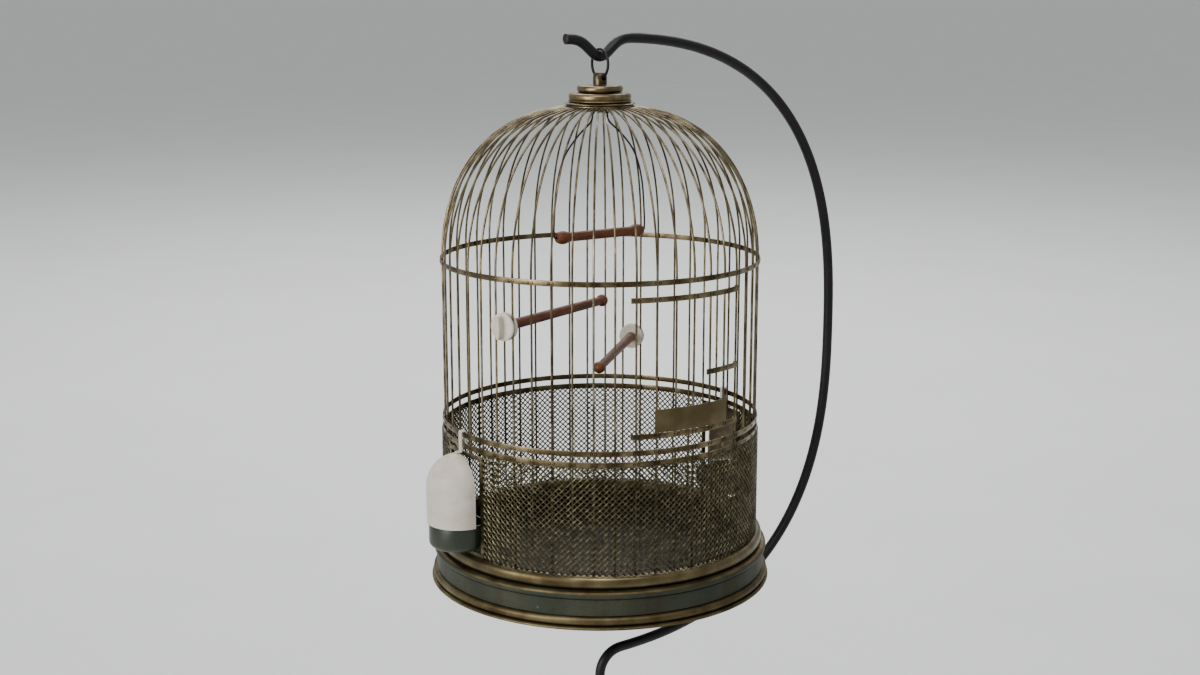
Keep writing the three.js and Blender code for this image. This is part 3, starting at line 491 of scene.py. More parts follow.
def pan_enamel():
    """Grey-green enamel over brass: the bare attribute and ragged chips show the metal below.

    Enamel is a rough, hardly metallic coat with brown stains that run down the wall. Chips are the high
    parts of a fine noise, and more of them lie where bare is near 0.5.
    """
    material, tree, place = new_finish("worn pan enamel")
    tall = add(tree, "Mapping", {"Vector": place, "Scale": (1, 1, 0.16)})
    patches = cloudy(tree, place, 19, 0.38, 0.62)
    runs = cloudy(tree, tall, 48, 0.45, 0.7, 5.0, most=0.7)
    specks = cloudy(tree, place, 420, 0.58, 0.7, 3.0, most=0.6)
    coat = coloured(tree, "#38392c", (patches, "#2b3026"), (runs, "#2e2618"), (specks, "#1c1811"))
    tarnish = cloudy(tree, place, 60, 0.35, 0.7)
    rubbed = cloudy(tree, place, 25, 0.5, 0.75, most=0.5)
    metal = coloured(tree, "#5b5036", (tarnish, "#3f331e"), (rubbed, "#8f8260"))
    bare = add(tree, "Attribute", {}, "Vector", attribute_name="along")
    bare = add(tree, "SeparateXYZ", {"Vector": bare}, "X")
    chips = add(tree, "TexNoise", {"Vector": place, "Scale": 130.0, "Detail": 5.0})
    both = add(tree, "Math", {0: bare, 1: chips}, operation="ADD")
    shown = add(tree, "MapRange", {"Value": both, "From Min": 0.82, "From Max": 0.88})
    # near black, for dirt and for painted shade, where the grime attribute says
    dirt_and_shade = add(tree, "Attribute", {}, "Fac", attribute_name="grime_and_shade")
    colour = coloured(tree, coat, (shown, metal), (dirt_and_shade, "#17140f"))
    depth = add(tree, "Math", {0: chips, 1: shown}, operation="SUBTRACT")
    bump = add(tree, "Bump", {"Height": depth, "Strength": 0.25, "Distance": 0.0004})
    metallic = add(tree, "MapRange", {"Value": shown, "To Min": 0.15, "To Max": 0.9})
    roughness = add(tree, "MapRange", {"Value": runs, "To Min": 0.5, "To Max": 0.68})
    return surfaced(material, tree, {"Base Color": colour, "Metallic": metallic, "Normal": bump,
                                     "Roughness": roughness, "Specular IOR Level": 0.2})


pan_outline = np.vstack([
    [[0, PAN_FLOOR - 1], [120, PAN_FLOOR - 1], [150.5, PAN_FLOOR - 1], [155.4, -307.2],
     [158.0, PAN_LOW + 0.2], [159.2, PAN_LOW + 0.1]],
    bead(160.0, -309.3, 3.1, 1.45, -80, 80, steps=9),
    [[156.9, -307.75], [156.9, -306.95]],
    bead(157.6, -303.15, 3.9, 3.7, -86, 86, steps=13),
    [[156.9, -299.35], [156.9, -298.6], [158.2, -298.3], [158.25, -291.0], [158.3, -283.6],
     [157.2, -282.9]],
    bead(156.9, -279.45, 3.5, 3.4, -80, 90, steps=12),
    [[152.4, PAN_TOP - 0.05], [151.3, PAN_TOP - 0.4], [151.3, -283.0], [155.6, -284.0], [155.8, -296.0],
     [155.0, -299.0], [151.8, PAN_FLOOR], [120, PAN_FLOOR], [0, PAN_FLOOR]],
])
pan_rows = turned(pan_outline, (0, 0, DATUM), 180)
pan_r = np.broadcast_to(pan_outline[:, :1], pan_rows.shape[:2])
pan_z = pan_rows[:, :, 2] - DATUM
outside = pan_r > 156.5
bare = np.where(outside & (pan_z < -299.0), 0.75, 0.12)
bare = np.where(outside & (pan_z > -277.3), 0.5, bare)
bare = np.where(outside & (np.abs(pan_z + 277.0) < 0.9), 0.6, bare)
# painted shade in the three grooves between the wall and its beads
grooves = np.minimum.reduce([np.abs(pan_z + 283.2), np.abs(pan_z + 298.95), np.abs(pan_z + 307.3)])
dirt_and_shade = np.where(outside & (pan_r < 158.1), np.clip(1.2 - grooves / 0.9, 0, 0.95), 0.0)
# the inside and the underside of the pan are darkened all over
dirt_and_shade = np.where(outside, dirt_and_shade, 0.75)
pan = put("seed_pan_spun", [pan_rows], pan_enamel(), crease=50,
          along=[np.stack([bare, 0 * bare, 0 * bare], axis=-1)], grime_and_shade=[dirt_and_shade])
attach(pan, "pan")
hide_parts("seed_pan")


# Crown: a thin flange over the bars' ends, two turned discs and a drilled post, stacked on the
# cage's axis and riveted through. Turned brass, with painted shade in the corners between the discs.
crown_metal = brass_like("turned crown brass", "#6b5c42", "#463823", "#a08f6b", 16, 0.34, spots=0.2)


def corner_shade(rows, low, high):
    """Painted shade, thickest at the foot of a turned piece and fading over its first millimetre."""
    z = rows[:, :, 2] - DATUM
    return 0.7 * np.clip(1 - (z - low) / 1.1, 0, 1) + 0.12 * np.clip(1 - (high - z) / 0.6, 0, 1)


flange = [[0, 140.3], [32.0, 140.3], [32.6, 140.7], [32.6, 141.4], [31.6, 142.0], [0, 142.05]]
flange_rows = turned(flange, (0, 0, DATUM), 120)
turn = np.arctan2(flange_rows[:, :, 1], flange_rows[:, :, 0])
flange_rows[:, :, 2] -= 0.25 * (flange_rows[:, :, 2] > DATUM + 141) * (1 + np.sin(5 * turn + 0.6))
lower = np.vstack([[[0, 142.5]],
                   bead(27.0, 143.5, 2.3, 1.0, -90, 60, steps=7),
                   bead(24.9, 147.0, 4.0, 3.7, -62, 84, steps=12),
                   [[22.0, 150.7], [0, 150.75]]])
upper = np.vstack([[[0, 151.2]],
                   bead(18.1, 154.4, 3.3, 3.2, -90, 80, fullness=2.4),
                   [[16.12, 157.65], [0, 157.65]]])
for node, rows, low, high in (
    ("crown_flange", flange_rows, 140.3, 142.1),
    ("crown_lower_disc", turned(lower, (0, 0, DATUM), 96), 142.4, 150.8),
    ("crown_upper_disc", turned(upper, (0, 0, DATUM), 96), 151.1, 157.7),
):
    dirt_and_shade = corner_shade(rows, low, high)
    turned_piece = put(node + "_turned", [rows], crown_metal, crease=45, grime_and_shade=[dirt_and_shade])
    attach(turned_piece, "cage")
    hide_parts(node)


# Post: its cross hole takes the hanging ring. The shaft and the hole are one surface, cut by a
# boolean that is applied here, so that the ring's wire lies in a true hole.
HOLE_Z = 164.5
HOLE_R = 2.55
post = np.array([[0, 158.05], [6.4, 158.05], [6.45, 163], [6.3, 166.2], [5.6, 168.0], [4.4, 168.9],
                 [2.4, 169.2], [0, 169.25]])
post_metal = brass_like("browned post brass", "#43392b", "#2a2118", "#6c5e48", 60, 0.38)
crown_post = put("crown_post_drilled", [turned(post, (0, 0, DATUM), 64)], post_metal, crease=45)
drill_path = [(0, y, DATUM + HOLE_Z) for y in (-20, 0, 20)]
drill = put("drill", [rod(drill_path, (1, 0, 0), HOLE_R, 32, 0.0)], post_metal)
cut = crown_post.modifiers.new("hole", "BOOLEAN")
cut.object = drill
cut.solver = "EXACT"
bpy.context.view_layer.update()
cut_post = crown_post.evaluated_get(bpy.context.evaluated_depsgraph_get())
drilled = bpy.data.meshes.new_from_object(cut_post)
crown_post.modifiers.clear()
crown_post.data = drilled
drilled.set_sharp_from_angle(angle=np.radians(40))
bpy.data.objects.remove(drill)
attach(crown_post, "cage")
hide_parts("crown_post")


# Swing hanger: a brass pin under the flange, held by a small plate. The swing's eyes turn on it.
HANGER_Z = 134.3
PIN_HALF = 14
PIN_R = 1.2
pin = rod([(x, 0, DATUM + HANGER_Z) for x in (-PIN_HALF, 0, PIN_HALF)], (0, 1, 0), PIN_R, 16)
plate_edge = rounded([[3, 1], [-3, 1], [-3, -1], [3, -1]], 0.4)
plate_edge = np.vstack([plate_edge, plate_edge[:1]])
heights = np.array([132.3, 132.3, 139.9, 139.9])
shrink = np.array([0.0, 1.0, 1.0, 0.0])
lug_x, lug_y = shrink[:, None] * plate_edge[:, 0], shrink[:, None] * plate_edge[:, 1]
lug = np.stack([lug_x, lug_y, DATUM + heights[:, None] + 0 * lug_x], axis=-1)
hanger = put("swing_hanger_pin", [pin, lug], crown_metal)
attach(hanger, "cage")
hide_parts("swing_hanger")


# Hanging ring: a closed loop of blackened iron wire through the post, which hangs in the dip of
# the stand's arm.
RING_MIDDLE = 176.99
LOOP_R = 13.2
WIRE_R = 1.28


def lacquered_iron(name, body, rubbed, reddish, rough, grain):
    """Black lacquer on iron rod: near black, a touch of brown, rubbed grey in small spots.

    The lacquer is a smooth coat over a slightly pitted surface, its roughness cloudy at 30 mm.
    """
    material, tree, place = new_finish(name)
    patches = cloudy(tree, place, 34, 0.35, 0.7)
    fine = cloudy(tree, place, 420, 0.6, 0.74, 4.0, most=0.5)
    colour = coloured(tree, body, (patches, reddish), (fine, rubbed))
    roughness = add(tree, "MapRange", {"Value": patches, "To Min": rough - 0.06, "To Max": rough + 0.12})
    pits = add(tree, "TexNoise", {"Vector": place, "Scale": grain, "Detail": 5.0})
    bump = add(tree, "Bump", {"Height": pits, "Strength": 0.3, "Distance": 0.0005})
    return surfaced(material, tree, {"Base Color": colour, "Roughness": roughness,
                                     "Specular IOR Level": 0.3, "Normal": bump})


def wire_loop(x, z, loop_r, wire_r, around, sides):
    """A closed loop of round wire, upright and facing sideways, its middle at a place and height."""
    turn = np.linspace(0, 2 * np.pi, around + 1)[:, None]
    tube = np.linspace(0, 2 * np.pi, sides + 1)[None, :]
    from_middle = loop_r + wire_r * np.cos(tube)
    return np.stack([x + wire_r * np.sin(tube) + 0 * turn, from_middle * np.cos(turn),
                     DATUM + z + from_middle * np.sin(turn)], axis=-1)[:, ::-1]


black_lacquer = lacquered_iron("black lacquered iron", "#08080a", "#24211e", "#120c0a", 0.5, 380.0)
loop = wire_loop(0, RING_MIDDLE, LOOP_R, WIRE_R, 64, 16)
ring = put("hanging_ring_wire", [loop], black_lacquer, crease=80)
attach(ring, "ring")
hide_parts("hanging_ring")


# Door: five bars held by three brass strips and a plate, hung on one bar of the cage by loops at
# the strips' ends. The strips reach past the latch side's bar, and the plate is soldered below.
HINGE_ANGLE = 21.6
STRIP_OVERHANG = 2.0
LOOP_IN, LOOP_OUT = 1.4, 2.1
DOOR_HIGH, DOOR_LOW = -14.5, -140.5
PLATE_HIGH, PLATE_LOW = -114.4, -135.2
PLATE_HALF = 15.2  # degrees


def hinge_loop(low):
    """The strip's end rolled round the hinge bar: a short sleeve with rounded lips."""
    x, y, _ = at_angle(BAR_R, HINGE_ANGLE, 0)
    high = low + BAND_H
    lip = rounded([[LOOP_OUT, low], [LOOP_OUT, high], [LOOP_IN, high], [LOOP_IN, low]], 0.25, 3)
    return turned(lip, (x, y, DATUM), 24, close=True)


for node, start, top in (
    ("door_top_strip", -HINGE_ANGLE - STRIP_OVERHANG, DOOR_HIGH),
    ("door_middle_strip", PITCH - STRIP_OVERHANG, -84.0),
    ("door_bottom_strip", -HINGE_ANGLE - STRIP_OVERHANG, DOOR_LOW + BAND_H),
):
    low = top - BAND_H
    bar_angles = np.array([k * PITCH for k in range(-3, 3) if k * PITCH > start])
    spots = weld_spots(bar_angles, low + BAND_H / 2)
    made = [strip(section(BAND_IN, BAND_OUT, low, top), start, HINGE_ANGLE), hinge_loop(low)]
    # the door strips get painted shade only round their welds
    dirt_and_shade = [np.zeros(g.shape[:2]) for g in made] + [weld_ring_shade] * len(spots)
    door_strip = put(node + "_brass", made + spots, band_brass, grime_and_shade=dirt_and_shade)
    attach(door_strip, "door")
    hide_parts(node)

door_bars = put("door_bar_wires", [bar(k, DOOR_LOW, DOOR_HIGH) for k in range(-2, 3)], bar_brass)
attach(door_bars, "door")
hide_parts(*[f"door_bar_{n}" for n in range(1, 6)])

plate_brass = brass_like("rolled door plate", "#5b4f35", "#5c412a", "#7c6e50", 9, 0.44, spots=0.15)
sheet = strip(section(BAND_IN, BAND_OUT, PLATE_LOW, PLATE_HIGH), -PLATE_HALF, PLATE_HALF, 24)
plate = put("door_plate_sheet", [sheet], plate_brass)
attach(plate, "door")
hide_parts("door_plate")


# Feeders: a moulded ivory hood over a green cup at each side of the cage, hung from the guard
# band by a bent strap. The hood has yellowed, and has painted shade inside.
HOOD_Y = -155.0
HOOD_TOP = -169.1
HOOD_LOW = -233.1
HOOD_R = 30.0
HOOD_WALL = 2.0
CUP_R = 28.5
CUP_H = 23.0
CUP_WALL = 1.8
TROUGH_HALF = 22.0
TROUGH_BACK = -133.8  # inside the bars


def old_plastic(name, body, aged, stain_and_shade, rough):
    """Moulded plastic: yellowed in soft clouds, speckled, and darkened by stains and painted shade where
    the grime attribute is.

    The stain's edge is made ragged by a cloudy noise, and lies thicker in its darker clouds.
    """
    material, tree, place = new_finish(name)
    patches = cloudy(tree, place, 38, 0.35, 0.7)
    specks = cloudy(tree, place, 700, 0.62, 0.74, 2.0, most=0.35)
    # stains, and painted shade inside the hoods, come from the grime attribute
    dirt_and_shade = add(tree, "Attribute", {}, "Fac", attribute_name="grime_and_shade")
    ragged = add(tree, "TexNoise", {"Vector": place, "Scale": 75.0, "Detail": 6.0})
    thick = add(tree, "Math", {0: dirt_and_shade, 1: ragged}, operation="ADD")
    reach = add(tree, "MapRange", {"Value": thick, "From Min": 0.7, "From Max": 1.25, "To Max": 0.9})
    yellowing = add(tree, "Math", {0: patches, 1: 0.8}, operation="MULTIPLY")
    colour = coloured(tree, body, (yellowing, aged), (specks, stain_and_shade), (reach, stain_and_shade))
    roughness = add(tree, "MapRange", {"Value": patches, "To Min": rough, "To Max": rough + 0.14})
    grain = add(tree, "TexNoise", {"Vector": place, "Scale": 1300.0, "Detail": 2.0})
    bump = add(tree, "Bump", {"Height": grain, "Strength": 0.15, "Distance": 0.0002})
    return surfaced(material, tree, {"Base Color": colour, "Roughness": roughness, "Normal": bump,
                                     "Subsurface Weight": 0.06,
                                     "Subsurface Radius": (0.003, 0.002, 0.001)})


def turn_about_cage(points, degrees):
    """Turns points about the cage's axis, from straight ahead towards the arm's side."""
    a = np.radians(degrees)
    x, y, z = points[..., 0], points[..., 1], points[..., 2]
    return np.stack([x * np.cos(a) - y * np.sin(a), x * np.sin(a) + y * np.cos(a), z], axis=-1)


def hood_shell():
    """A half round wall with a quarter ball on top, its back open towards the cage, 2 mm thick.

    Outer and inner surfaces follow one path: [radius, height] with the radius at either side of
    the wall's middle, over half a turn. Flat lips close its foot and its two back edges.
    """
    rise = np.linspace(HOOD_LOW, HOOD_TOP - HOOD_R, 8)[:-1]
    bend = np.linspace(0, np.pi / 2, 15)
    lift = np.concatenate([rise, np.full(15, HOOD_TOP - HOOD_R)])
    flat = np.concatenate([np.ones(7), np.cos(bend)])
    tall = np.concatenate([np.zeros(7), np.sin(bend)])
    turn = np.linspace(-np.pi / 2, np.pi / 2, 33)[None, :]

    def shell(radius):
        r = (radius * flat)[:, None]
        return np.stack([r * np.sin(turn), HOOD_Y - r * np.cos(turn),
                         DATUM + (lift + radius * tall)[:, None] + 0 * turn], axis=-1)

    outer, inner = shell(HOOD_R), shell(HOOD_R - HOOD_WALL)
    t = np.linspace(0, 1, 5)[:, None, None]
    foot, left, right = ((1 - t) * a + t * b for a, b in (
        (outer[0], inner[0]), (outer[:, 0], inner[:, 0]), (outer[:, -1], inner[:, -1])))
    return [outer, inner[:, ::-1], foot[::-1], left, right[:, ::-1]]


def cup_outline(inset):
    """The cup's plan, seen from above: half round outside the cage, a straight trough inside it.

    inset is one number for each row, by which the whole outline is drawn in.
    """
    inset = np.asarray(inset, dtype=float)[:, None]
    turn = np.radians(np.linspace(-90, 90, 37))[None, :]
    r = CUP_R - inset
    arc_x, arc_y = r * np.sin(turn), np.minimum(HOOD_Y - r * np.cos(turn), HOOD_Y - inset)
    half, back = TROUGH_HALF - inset, TROUGH_BACK - inset
    t = np.linspace(0, 1, 9)[None, :]
    shoulder_x = half + (1 - t) * (r - half)
    side_y = (HOOD_Y - inset) + t * (back - HOOD_Y + inset)
    across = np.linspace(1, -1, 17)[None, :]
    x = np.concatenate([arc_x, shoulder_x[:, 1:], half + 0 * t, half * across, -half + 0 * t,
                        -shoulder_x[:, ::-1]], axis=1)
    y = np.concatenate([arc_y, HOOD_Y - inset + 0 * t[:, 1:], side_y, back + 0 * across, side_y[:, ::-1],
                        HOOD_Y - inset + 0 * t], axis=1)
    return x, y


def cup_shell():
    """The cup's closed surface: up the outside from under its floor, over the rim, down the inside.

    Each row draws the plan in or out; the floor's rows shrink to one point in its middle.
    """
    low, top = HOOD_LOW - 0.3 - CUP_H, HOOD_LOW - 0.3
    bend = np.radians(np.linspace(0, 90, 7))
    foot_in, foot_z = 6.0 * (1 - np.sin(bend)), low + 6.0 * (1 - np.cos(bend))
    in_in = CUP_WALL + 4.5 * (1 - np.sin(bend))[::-1]
    in_z = low + CUP_WALL + 4.5 * (1 - np.cos(bend))[::-1]
    inset = np.concatenate([foot_in, [0.0, 0.15, 0.9, 1.65, CUP_WALL], in_in])
    z = np.concatenate([foot_z, [top - 0.6, top - 0.1, top, top - 0.1, top - 0.6], in_z])
    x, y = cup_outline(inset)
    x = np.concatenate([0 * x[:1], x, 0 * x[:1]])
    y = np.concatenate([0 * y[:1] + HOOD_Y, y, 0 * y[:1] + HOOD_Y])
    z = np.concatenate([[low], z, [low + CUP_WALL]])
    return np.stack([x, y, DATUM + z[:, None] + 0 * x], axis=-1)


def strap_shell():
    """The hook: a flat strap, 5 mm wide and 1.4 mm thick, bent over the guard band.

    A thin rectangle with rounded corners is carried along the strap's middle line, which is
    rounded at its bends and runs in the upright plane through the feeder.
    """
    half_t, half_w = 0.7, 2.5
    line = np.array([[-148.1, -159.95], [-148.1, -149.0], [-152.8, -149.0],
                     [-152.8, -168.1], [-157.5, -168.1]])
    corner = rounded(line, 1.2, 5)
    line = np.vstack([line[:1], corner[6:-6], line[-1:]])
    tangent = np.gradient(line, axis=0)
    tangent /= np.linalg.norm(tangent, axis=1, keepdims=True)
    out = np.stack([-tangent[:, 1], tangent[:, 0]], axis=-1)
    edge = rounded([[half_t, half_w], [-half_t, half_w], [-half_t, -half_w], [half_t, -half_w]], 0.4, 3)
    edge = np.vstack([edge, edge[:1]])
    place = line[:, None, :] + out[:, None, :] * edge[None, :, :1]
    y, z = place[..., 0], DATUM + place[..., 1]
    rows = np.stack([edge[None, :, 1] + 0 * y, y, z], axis=-1)
    caps = np.repeat(rows.mean(axis=1, keepdims=True), rows.shape[1], axis=1)
    return np.concatenate([caps[:1], rows, caps[-1:]])


ivory = old_plastic("yellowed ivory plastic", "#bcb3a8", "#a79c8b", "#57472e", 0.4)
green = old_plastic("dark green plastic", "#1d2418", "#262b1a", "#34341f", 0.3)
for side, middle in (("right", 90), ("left", -90)):
    for part_name, node, made, plastic, slot_name in (
        ("feeder_hood_moulded_", "feeder_hood_", hood_shell(), ivory, "ivory_plastic"),
        ("feeder_cup_moulded_", "feeder_cup_", [cup_shell()], green, "green_plastic"),
        ("feeder_strap_", "feeder_hook_", [strap_shell()], ivory, "ivory_plastic"),
    ):
        inner = 1 if node == "feeder_hood_" else -1
        # painted shade over the inside of each hood; every other surface gets 0.12, which shows only as
        # ragged stains
        stains_and_shade = [np.full(g.shape[:2], 0.72 if i == inner else 0.12) for i, g in enumerate(made)]
        turned_out = [turn_about_cage(g, middle) for g in made]
        feeder_part = put(part_name + side, turned_out, plastic, crease=40, grime_and_shade=stains_and_shade)
        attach(feeder_part, "feeder_" + side)
        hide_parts(node + side)


# Perches: two stained wooden dowels with a knob at the inner end, each clamped to the bars between
# an ivory disc inside and a winged nut outside, by a steel stud set in the dowel's end.
CLAMP_IN = 146.5
CLAMP_OUT = 149.1
PERCH_R = 4.75
KNOB_R = 5.75
PERCH_END = -9.0
STUD_TIP = 156.7


def stained_wood(name, body, dark, pale):
    """Turned softwood with a red-brown stain, its grain drawn out along the piece.

    The along attribute holds the piece's own coordinates, with its length as the third: noise
    squeezed to a fourteenth that way makes the grain, and a finer one its open pores.
    """
    material, tree, _ = new_finish(name)
    own = add(tree, "Attribute", {}, "Vector", attribute_name="along")
    drawn = add(tree, "Mapping", {"Vector": own, "Scale": (1.0, 1.0, 0.07)})
    grain = cloudy(tree, drawn, 520, 0.36, 0.66, 6.0)
    pores = cloudy(tree, drawn, 2100, 0.56, 0.68, 3.0, most=0.5)
    blotch = cloudy(tree, own, 55, 0.36, 0.68, most=0.55)
    # painted shade, near black, where the grime attribute says
    dirt_and_shade = add(tree, "Attribute", {}, "Fac", attribute_name="grime_and_shade")
    colour = coloured(tree, body, (grain, dark), (blotch, pale), (pores, "#240e07"), (dirt_and_shade, "#241009"))
    roughness = add(tree, "MapRange", {"Value": grain, "To Min": 0.42, "To Max": 0.6})
    bump = add(tree, "Bump", {"Height": pores, "Strength": 0.25, "Distance": 0.0003}, invert=True)
    return surfaced(material, tree, {"Base Color": colour, "Roughness": roughness,
                                     "Specular IOR Level": 0.3, "Normal": bump})


def out_through_wall(rows, degrees, drop):
    """Lays a piece turned about the upright axis so that its axis points straight out of the cage."""
    laid = np.stack([rows[..., 0], -rows[..., 2], rows[..., 1]], axis=-1)
    return turn_about_cage(laid, degrees) + np.array([0.0, 0.0, DATUM - drop])


def knobbed_dowel():
    """Profile of a dowel: an almost round knob, a neck, then a shaft that swells a little outwards."""
    a = np.radians(np.linspace(-90, 52, 14))
    knob = np.stack([KNOB_R * np.cos(a), PERCH_END + KNOB_R + KNOB_R * np.sin(a)], axis=-1)
    shaft = np.linspace(PERCH_END + 2 * KNOB_R + 1.5, CLAMP_IN - 3.5, 22)
    swell = np.linspace(4.1, PERCH_R - 0.02, 22)
    end = CLAMP_IN - 2.9
    tail = [[PERCH_R - 0.3, end - 0.1], [PERCH_R - 0.8, end], [2.4, end], [2.4, end - 1.5],
            [0, end - 1.5]]
    return np.vstack([knob, np.stack([swell, shaft], axis=-1), tail])


def thumb_ridge(low, high):
    """The nut's upright ridge: an oval cake, 5.5 mm thick and 21 mm tall, its top edge rounded."""
    t = np.linspace(0, 2 * np.pi, 41)[None, :]
    inset = np.array([0.0, 0.0, 0.0, 0.15, 0.5, 1.2, 2.7])[:, None]
    z = np.array([low, low, high - 1.6, high - 0.8, high - 0.3, high, high])[:, None]
    across, along = squarish(t, 0.75)
    x, y = across * (2.72 - inset), along * (10.4 - inset)
    x[0], y[0] = 0, 0
    x[-1], y[-1] = 0, y[-1] * 0.97
    return np.stack([x, y, z + 0 * t], axis=-1)


red_wood = stained_wood("red stained dowel", "#56290c", "#331505", "#6b3b17")
zinc_steel = brass_like("dull zinced steel", "#85827c", "#55514a", "#b4b1aa", 60, 0.34, metallic=0.95)
clamp_plastic = old_plastic("ivory clamp plastic", "#bfb6aa", "#aa9f8c", "#77643f", 0.42)
for which, degrees, drop in (("upper", -68.4, 44.5), ("lower", 133.2, 108.3)):
    dowel_rows = turned(knobbed_dowel(), steps=40)
    own = dowel_rows / 1000 + np.array([0, 0, 0.37 if which == "upper" else 1.21])
    z = dowel_rows[:, :, 2]
    # painted shade in the neck between the knob and the shaft
    dirt_and_shade = 0.55 * np.clip(1 - np.abs(z - (PERCH_END + 2 * KNOB_R + 0.4)) / 1.4, 0, 1)
    disc = rounded([[2.45, CLAMP_IN - 2.6], [12.45, CLAMP_IN - 2.6], [12.45, CLAMP_IN - 0.05],
                    [2.45, CLAMP_IN - 0.05]], 0.8)
    stud = [[0, CLAMP_IN - 4.2], [1.95, CLAMP_IN - 4.2], [1.95, STUD_TIP - 0.4], [1.5, STUD_TIP],
            [0, STUD_TIP]]
    nut = [[2.45, CLAMP_OUT + 0.05], [12.0, CLAMP_OUT + 0.05], [12.4, CLAMP_OUT + 0.4],
           [12.4, CLAMP_OUT + 1.7], [11.9, CLAMP_OUT + 2.3], [11.0, CLAMP_OUT + 2.55],
           [2.45, CLAMP_OUT + 2.58]]
    disc_rows = turned(disc, steps=48, close=True)
    nut_rows = [turned(nut, steps=48, close=True), thumb_ridge(CLAMP_OUT + 2.3, CLAMP_OUT + 9.5)]
    wood_marks = {"along": [own], "grime_and_shade": [dirt_and_shade]}
    for part_name, node, body, rows, finish_used, slot_name, marks in (
        ("dowel_turned", "dowel", "cage", [dowel_rows], red_wood, "red_wood", wood_marks),
        ("disc_moulded", "disc", "cage", [disc_rows], clamp_plastic, "ivory_plastic", {}),
        ("stud_rolled", "stud", "cage", [turned(stud, steps=16)], zinc_steel, "steel", {}),
        ("nut_moulded", "nut", which + "_nut", nut_rows, clamp_plastic, "ivory_plastic", {}),
    ):
        laid = [out_through_wall(g, degrees, drop) for g in rows]
        perch_part = put(f"perch_{which}_{part_name}", laid, finish_used, crease=42, **marks)
        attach(perch_part, body)
        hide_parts(f"perch_{which}_{node}")


# Swing: a short turned perch between two black wires. Each wire turns in to the perch's end at
# its foot, and at its top is closed to an eye round the hanger's pin.
SWING_Z = HANGER_Z - 115.0
EYE_R = 2.45
EYE_X = 8.0
SWING_WIRE_R = 0.88


def smooth_line(points, count):
    """A smooth line through points: a Catmull-Rom curve, sampled evenly between each two."""
    points = np.asarray(points, dtype=float)
    padded = np.vstack([2 * points[0] - points[1], points, 2 * points[-1] - points[-2]])
    t = np.linspace(0, 1, count, endpoint=False)[None, :, None]
    a, b, c, d = (padded[i:len(padded) - 3 + i, None, :] for i in range(4))
    square, cube = 2 * a - 5 * b + 4 * c - d, 3 * b - a - 3 * c + d
    curve = 0.5 * (2 * b + (c - a) * t + square * t ** 2 + cube * t ** 3)
    return np.vstack([curve.reshape(-1, points.shape[1]), points[-1:]])


top = HANGER_Z - EYE_R
leg = np.array([[8.0, top], [10.5, top - 8], [25.4, top - 21], [39.6, top - 39], [47.8, top - 65],
                [50.8, SWING_Z + 14], [50.8, SWING_Z + 2.0], [50.2, SWING_Z + 0.6], [48.8, SWING_Z],
                [44.0, SWING_Z], [40.5, SWING_Z]])
for side, sign in (("right", 1), ("left", -1)):
    line = smooth_line(leg, 7)
    path = np.stack([sign * line[:, 0], 0 * line[:, 0], DATUM + line[:, 1]], axis=-1)
    eye = wire_loop(sign * EYE_X, HANGER_Z, EYE_R, SWING_WIRE_R, 32, 10)
    wire = rod(path, (0, 1, 0), SWING_WIRE_R, 10)
    swing_side = put("swing_side_" + side, [wire, eye], black_lacquer, crease=80)
    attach(swing_side, "swing")
    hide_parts("swing_wire_" + side)

half = np.array([[4.45, 34.0], [4.6, 35.5], [5.9, 38.6], [6.15, 40.4], [6.15, 43.0], [5.7, 45.2],
                 [4.7, 47.4], [4.2, 47.9], [1.3, 47.95], [1.3, 46.5], [0, 46.5]])
body = np.stack([np.full(13, 4.45), np.linspace(-31, 31, 13)], axis=-1)
profile = np.vstack([half[::-1] * (1, -1), body, half])
swing_rows = turned(profile, steps=40)
own = swing_rows / 1000 + np.array([0, 0, 2.3])
# painted shade in the two necks where the knobs begin
neck = np.minimum(np.abs(np.abs(swing_rows[:, :, 2]) - 35.2), 9)
laid = np.stack([swing_rows[..., 2], swing_rows[..., 1], DATUM + SWING_Z - swing_rows[..., 0]], axis=-1)
dirt_and_shade = 0.5 * np.clip(1 - neck / 1.5, 0, 1)
swing_bar = put("swing_perch_turned", [laid], red_wood, crease=42, along=[own], grime_and_shade=[dirt_and_shade])
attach(swing_bar, "swing")
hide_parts("swing_perch")


# Stand: a 10 mm iron rod bent from the pole round below and beside the cage and over its top,
# where a dip holds the ring. The sleeve joins it to the pole, and all are lacquered black.
ARM_TOP, ARM_LOW = 200.57, -397.8
ARM_REACH = 287.0
ARM_FULLNESS = 2.54
ROD_R = 4.9
ARM_END = -551.8
HOOK_TIP, HOOK_ROOT = -39.5, 49.5  # the dip's two ends, either side of the pole's axis
BEND_R = 24.0
BEND_Z = -421.8


